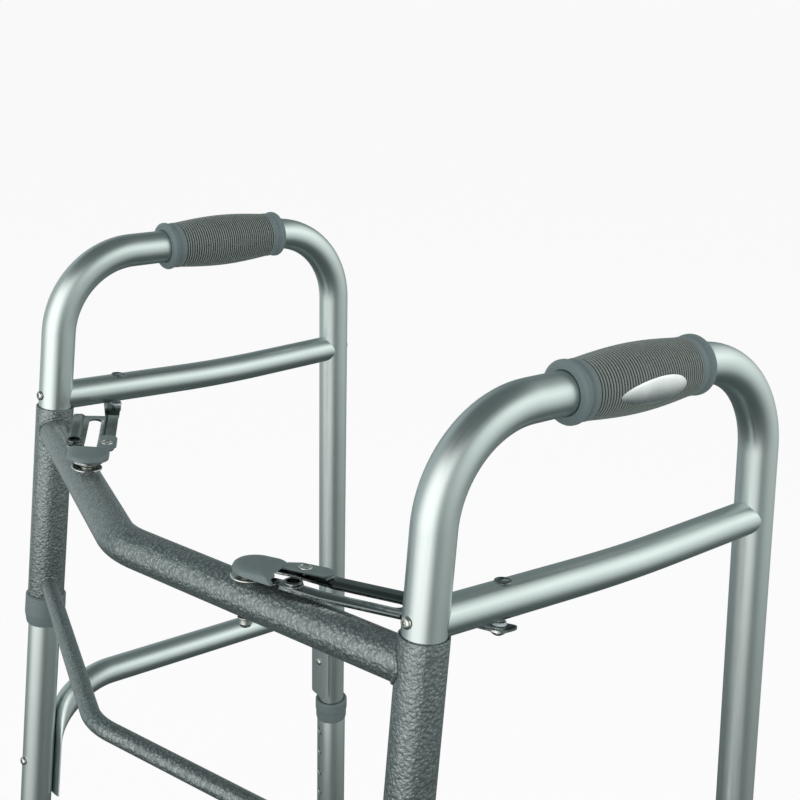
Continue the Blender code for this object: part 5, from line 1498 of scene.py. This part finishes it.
def make_axle(side, matrix):
    inner, outer = side.extent("axle_bolt", matrix)
    head = outer - 4.2
    profile = [
        (0.0, outer - 1.0), (2.6, outer - 1.0), (3.0, outer), (4.8, outer), (6.7, outer - 1.6),
        (6.8, head), (4.0, head), (4.0, inner + 0.8), (3.4, inner), (0.0, inner),
    ]
    side.add("axle_pin", lathed(profile, 0.5), "Bright steel", "front_leg", matrix, "axle_bolt")
    far, near = side.extent("axle_nut", matrix)
    rows = []
    for height, radius in ((far, NUT_R * 0.90), (far + 0.8, NUT_R), (near - 1.9, NUT_R)):
        rows.append([Vector((*p, height * MM)) for p in arc((0, 0), radius * MM, 0, 300, 5)])
    tools = [
        ("UNION", rod(NUT_WASHER_R, near - 0.9, near - 1.95, 32), STILL),
        ("DIFFERENCE", rod(NUT_BORE, -100, 100, 24), STILL),
    ]
    mesh = carved(lattice(rows, smooth=20), tools, smooth=25)
    side.add("lock_nut", mesh, "Bright steel", "front_leg", matrix, "axle_nut")


# Stage.

CAMERA_PLACE = Vector((0.67354, -0.50615, 1.00797))
CAMERA_YAW = 0.875067787
CAMERA_PITCH = 0.318958826
CAMERA_ROLL = 0.040692432
FOCAL_PIXELS = 1277.957
PICTURE_PIXELS = 800.0
SENSOR = 36.0
FAR_CLIP = 60.0


def make_camera():
    yaw, pitch, roll = CAMERA_YAW, CAMERA_PITCH, CAMERA_ROLL
    ahead = Vector((-math.sin(yaw) * math.cos(pitch), math.cos(yaw) * math.cos(pitch), -math.sin(pitch)))
    level = Vector((math.cos(yaw), math.sin(yaw), 0.0))
    right = level * math.cos(roll) + level.cross(ahead) * math.sin(roll)
    camera = bpy.data.objects.new("camera", bpy.data.cameras.new("camera"))
    bpy.context.scene.collection.objects.link(camera)
    camera.matrix_world = frame_matrix(right, right.cross(ahead), -ahead, CAMERA_PLACE)
    camera.data.sensor_width = SENSOR
    camera.data.lens = SENSOR * FOCAL_PIXELS / PICTURE_PIXELS
    camera.data.clip_end = FAR_CLIP
    bpy.context.scene.camera = camera


def add_lamp(name, at, towards, width, height, power):
    """A softbox that lights the plastics and enamel. Metal shows the studio's own bright areas instead."""
    lamp = bpy.data.lights.new(name, "AREA")
    lamp.shape = "RECTANGLE"
    lamp.size = width
    lamp.size_y = height
    lamp.energy = power
    obj = bpy.data.objects.new(name, lamp)
    bpy.context.scene.collection.objects.link(obj)
    aim = Vector(towards) - Vector(at)
    obj.matrix_world = Matrix.Translation(at) @ aim.to_track_quat("-Z", "Y").to_matrix().to_4x4()
    obj.visible_camera = False
    obj.visible_glossy = False


def make_lamps():
    settings = bpy.context.scene.walker_stage
    add_lamp("front_softbox", (0.35, -2.6, 1.35), (0.0, 0.0, 0.62), 3.0, 1.7, settings.key_power)
    add_lamp("rear_strip", (2.4, 1.6, 1.3), (0.0, 0.0, 0.6), 0.9, 1.6, settings.fill_power)
    add_lamp("top_soft", (0.0, 0.2, 3.2), (0.0, 0.0, 0.5), 2.2, 2.2, settings.top_power)


# Bright areas of the studio. Each has its heading in degrees, (closeness, strength) stops over the cosine
# of the angle from that heading, (height, share) stops over the ray's height, and its colour.
PANELS = (
    (
        -78.0, ((0.55, 0.0), (0.96, 1.0)), ((-0.56, 0.0), (-0.34, 1.0), (0.55, 1.0), (0.75, 0.0)),
        (1.62, 1.54, 1.51),
    ),
    (
        48.0, ((0.30, 0.0), (0.94, 1.0)), ((-0.62, 0.0), (0.12, 0.72), (0.35, 1.0), (0.55, 0.9), (0.85, 0.0)),
        (1.25, 1.25, 1.22),
    ),
    (
        -160.0, ((0.55, 0.0), (0.95, 1.0)), ((-0.56, 0.0), (-0.34, 1.0), (0.5, 1.0), (0.75, 0.0)),
        (0.30, 0.32, 0.32),
    ),
)
ROOM = (
    (-0.77, (0.085, 0.105, 0.105)), (-0.50, (0.13, 0.155, 0.157)), (-0.28, (0.225, 0.268, 0.27)),
    (0.45, (0.225, 0.268, 0.27)), (0.80, (0.14, 0.165, 0.168)),
)
ROOM_FILL = (0.40, 0.41, 0.41)
BACKDROP = (0.95, 0.95, 0.95)
BLACK = (0.0, 0.0, 0.0)
WHITE = (1.0, 1.0, 1.0)


def shifted(stops):
    """Stops over -1 to 1, moved to the 0 to 1 that a ramp takes."""
    return [((position + 1) / 2, value) for position, value in stops]


def studio_light(nodes, direction):
    """Colour of the studio in a direction, as polished metal shows it."""
    parts = nodes.add("SeparateXYZ", direction).outputs
    height = nodes.math("MULTIPLY_ADD", parts["Z"], 0.5, 0.5)
    level = nodes.vector("MULTIPLY", direction, (1.0, 1.0, 0.0))[0]
    heading = nodes.vector("NORMALIZE", level)[0]
    colour = nodes.ramp(height, shifted(ROOM))
    for azimuth, across, upright, shade in PANELS:
        aim = (*on_circle(math.radians(azimuth), 1.0), 0.0)
        closeness = nodes.math("MULTIPLY_ADD", nodes.vector("DOT_PRODUCT", heading, aim)["Value"], 0.5, 0.5)
        lit = nodes.ramp(closeness, shifted(across))
        share = nodes.math("MULTIPLY", lit, nodes.ramp(height, shifted(upright)))
        colour = nodes.vector("ADD", colour, nodes.mix(share, BLACK, shade))[0]
    return colour


def make_world():
    """A white backdrop for the camera, bright panels for metal, and an even fill for the rest."""
    world = bpy.data.worlds.new("studio")
    bpy.context.scene.world = world
    world.use_nodes = True
    nodes = Nodes(world.node_tree)
    path = nodes.add("LightPath").outputs
    ray = nodes.add("TexCoord").outputs["Generated"]
    seen = nodes.mix(nodes.mirrored(path), ROOM_FILL, studio_light(nodes, ray))
    background = world.node_tree.nodes["Background"].inputs
    nodes.feed(background["Color"], nodes.mix(path["Is Camera Ray"], seen, BACKDROP))


def make_floor():
    """A white floor that keeps a faint shadow, and shows metal the studio's lower half."""
    settings = bpy.context.scene.walker_stage
    half = settings.floor_size / 2
    mesh = bpy.data.meshes.new("floor")
    corners = [(-half, -half, 0), (half, -half, 0), (half, half, 0), (-half, half, 0)]
    mesh.from_pydata(corners, [], [(0, 1, 2, 3)])
    floor = bpy.data.objects.new("floor", mesh)
    bpy.context.scene.collection.objects.link(floor)
    material = bpy.data.materials.new("Pale floor")
    material.use_nodes = True
    nodes = Nodes(material.node_tree)
    shader = material.node_tree.nodes["Principled BSDF"]
    shader.inputs["Base Color"].default_value = (*settings.floor_colour, 1.0)
    shader.inputs["Roughness"].default_value = 0.9
    shader.inputs["Specular IOR Level"].default_value = 0.1
    path = nodes.add("LightPath").outputs
    away = nodes.vector("SCALE", nodes.add("NewGeometry").outputs["Incoming"], Scale=-1.0)[0]
    glow = nodes.add("Emission", Color=nodes.mix(path["Is Camera Ray"], studio_light(nodes, away), WHITE))
    lit = nodes.math("MULTIPLY", path["Is Camera Ray"], settings.whiteness)
    share = nodes.math("MAXIMUM", nodes.mirrored(path), lit)
    both = nodes.add("MixShader", share, shader.outputs[0], glow.outputs[0]).outputs[0]
    nodes.feed(material.node_tree.nodes["Material Output"].inputs["Surface"], both)
    mesh.materials.append(material)


# Operators.


def build(*makers):
    """Runs the makers of some pieces on each side of the walker."""
    for side in [SideAxes(name) for name in SIDES]:
        for maker in makers:
            maker(side)
    return {"FINISHED"}


class WALKER_OT_side_frames(bpy.types.Operator):
    """Builds the bent side tubes with their upper and lower braces"""

    bl_idname = "walker.side_frames"
    bl_label = "Side frames"

    def execute(self, context):
        return build(make_side_tube, make_upper_brace, make_lower_brace)


class WALKER_OT_front_frame(bpy.types.Operator):
    """Builds the crossbar, the lower bar, the sleeves and their collars"""

    bl_idname = "walker.front_frame"
    bl_label = "Front frame"

    def execute(self, context):
        sides = [SideAxes(name) for name in SIDES]
        bead = context.scene.walker_enamel.bead
        for name, drop, middle, bend, radius, weld in (
            ("crossbar", CROSSBAR_DROP, CROSSBAR_MIDDLE, CROSSBAR_BEND, CROSSBAR_R, bead),
            ("lower_bar", LOWER_BAR_DROP, LOWER_BAR_MIDDLE, LOWER_BAR_BEND, LOWER_BAR_R, bead * 0.8),
        ):
            make_bar(sides, "bent_" + name, name, drop, middle, bend, radius, weld)
        return build(make_sleeve)


class WALKER_OT_grips(bpy.types.Operator):
    """Builds the ribbed grips with their blank oval plates"""

    bl_idname = "walker.grips"
    bl_label = "Grips"

    def execute(self, context):
        return build(make_grip)


class WALKER_OT_fasteners(bpy.types.Operator):
    """Builds the screws and rivets of the braces"""

    bl_idname = "walker.fasteners"
    bl_label = "Fasteners"

    def execute(self, context):
        return build(make_side_fasteners)


class WALKER_OT_arms(bpy.types.Operator):
    """Builds the slotted folding arms, their studs, pivots and bushes"""

    bl_idname = "walker.arms"
    bl_label = "Folding arms"

    def execute(self, context):
        return build(make_arm, make_crossbar_stud, make_slot_stud, make_pivot, make_bush)


class WALKER_OT_paddles(bpy.types.Operator):
    """Builds the release paddles with their rivets"""

    bl_idname = "walker.paddles"
    bl_label = "Release paddles"

    def execute(self, context):
        return build(make_paddle)


class WALKER_OT_legs(bpy.types.Operator):
    """Builds the leg extensions with collars, snap buttons and rubber tips"""

    bl_idname = "walker.legs"
    bl_label = "Leg extensions"

    def execute(self, context):
        return build(make_leg_ends)


class WALKER_OT_wheels(bpy.types.Operator):
    """Builds the wheels with their axles"""

    bl_idname = "walker.wheels"
    bl_label = "Wheels"

    def execute(self, context):
        return build(make_wheel)


class WALKER_OT_stage(bpy.types.Operator):
    """Sets up the floor, the studio, the lamps and the camera"""

    bl_idname = "walker.stage"
    bl_label = "Stage"

    def execute(self, context):
        context.scene.view_settings.view_transform = "Standard"
        for maker in (make_world, make_floor, make_lamps, make_camera):
            maker()
        return {"FINISHED"}


OPERATORS = (
    WALKER_OT_side_frames,
    WALKER_OT_front_frame,
    WALKER_OT_grips,
    WALKER_OT_fasteners,
    WALKER_OT_arms,
    WALKER_OT_paddles,
    WALKER_OT_legs,
    WALKER_OT_wheels,
    WALKER_OT_stage,
)
GROUPS_OF_SETTINGS = {
    "walker_tubes": WalkerTubes,
    "walker_enamel": WalkerEnamel,
    "walker_grips": WalkerGrips,
    "walker_hardware": WalkerHardware,
    "walker_stage": WalkerStage,
}


class WALKER_PT_panel(bpy.types.Panel):
    """Lists the walker's settings and the steps that build it"""

    bl_idname = "WALKER_PT_panel"
    bl_label = "Walker"
    bl_space_type = "VIEW_3D"
    bl_region_type = "UI"
    bl_category = "Walker"

    def draw(self, context):
        for label, kind in GROUPS_OF_SETTINGS.items():
            box = self.layout.box()
            for name in kind.__annotations__:
                box.prop(getattr(context.scene, label), name)
        for operator in OPERATORS:
            self.layout.operator(operator.bl_idname)


def register():
    for kind in (*GROUPS_OF_SETTINGS.values(), *OPERATORS, WALKER_PT_panel):
        bpy.utils.register_class(kind)
    for label, kind in GROUPS_OF_SETTINGS.items():
        setattr(bpy.types.Scene, label, bpy.props.PointerProperty(type=kind))


def unregister():
    for label in GROUPS_OF_SETTINGS:
        delattr(bpy.types.Scene, label)
    for kind in reversed((*GROUPS_OF_SETTINGS.values(), *OPERATORS, WALKER_PT_panel)):
        bpy.utils.unregister_class(kind)


def main():
    register()
    for operator in OPERATORS:
        section, step = operator.bl_idname.split(".")
        getattr(getattr(bpy.ops, section), step)()


if __name__ == "__main__":
    main()
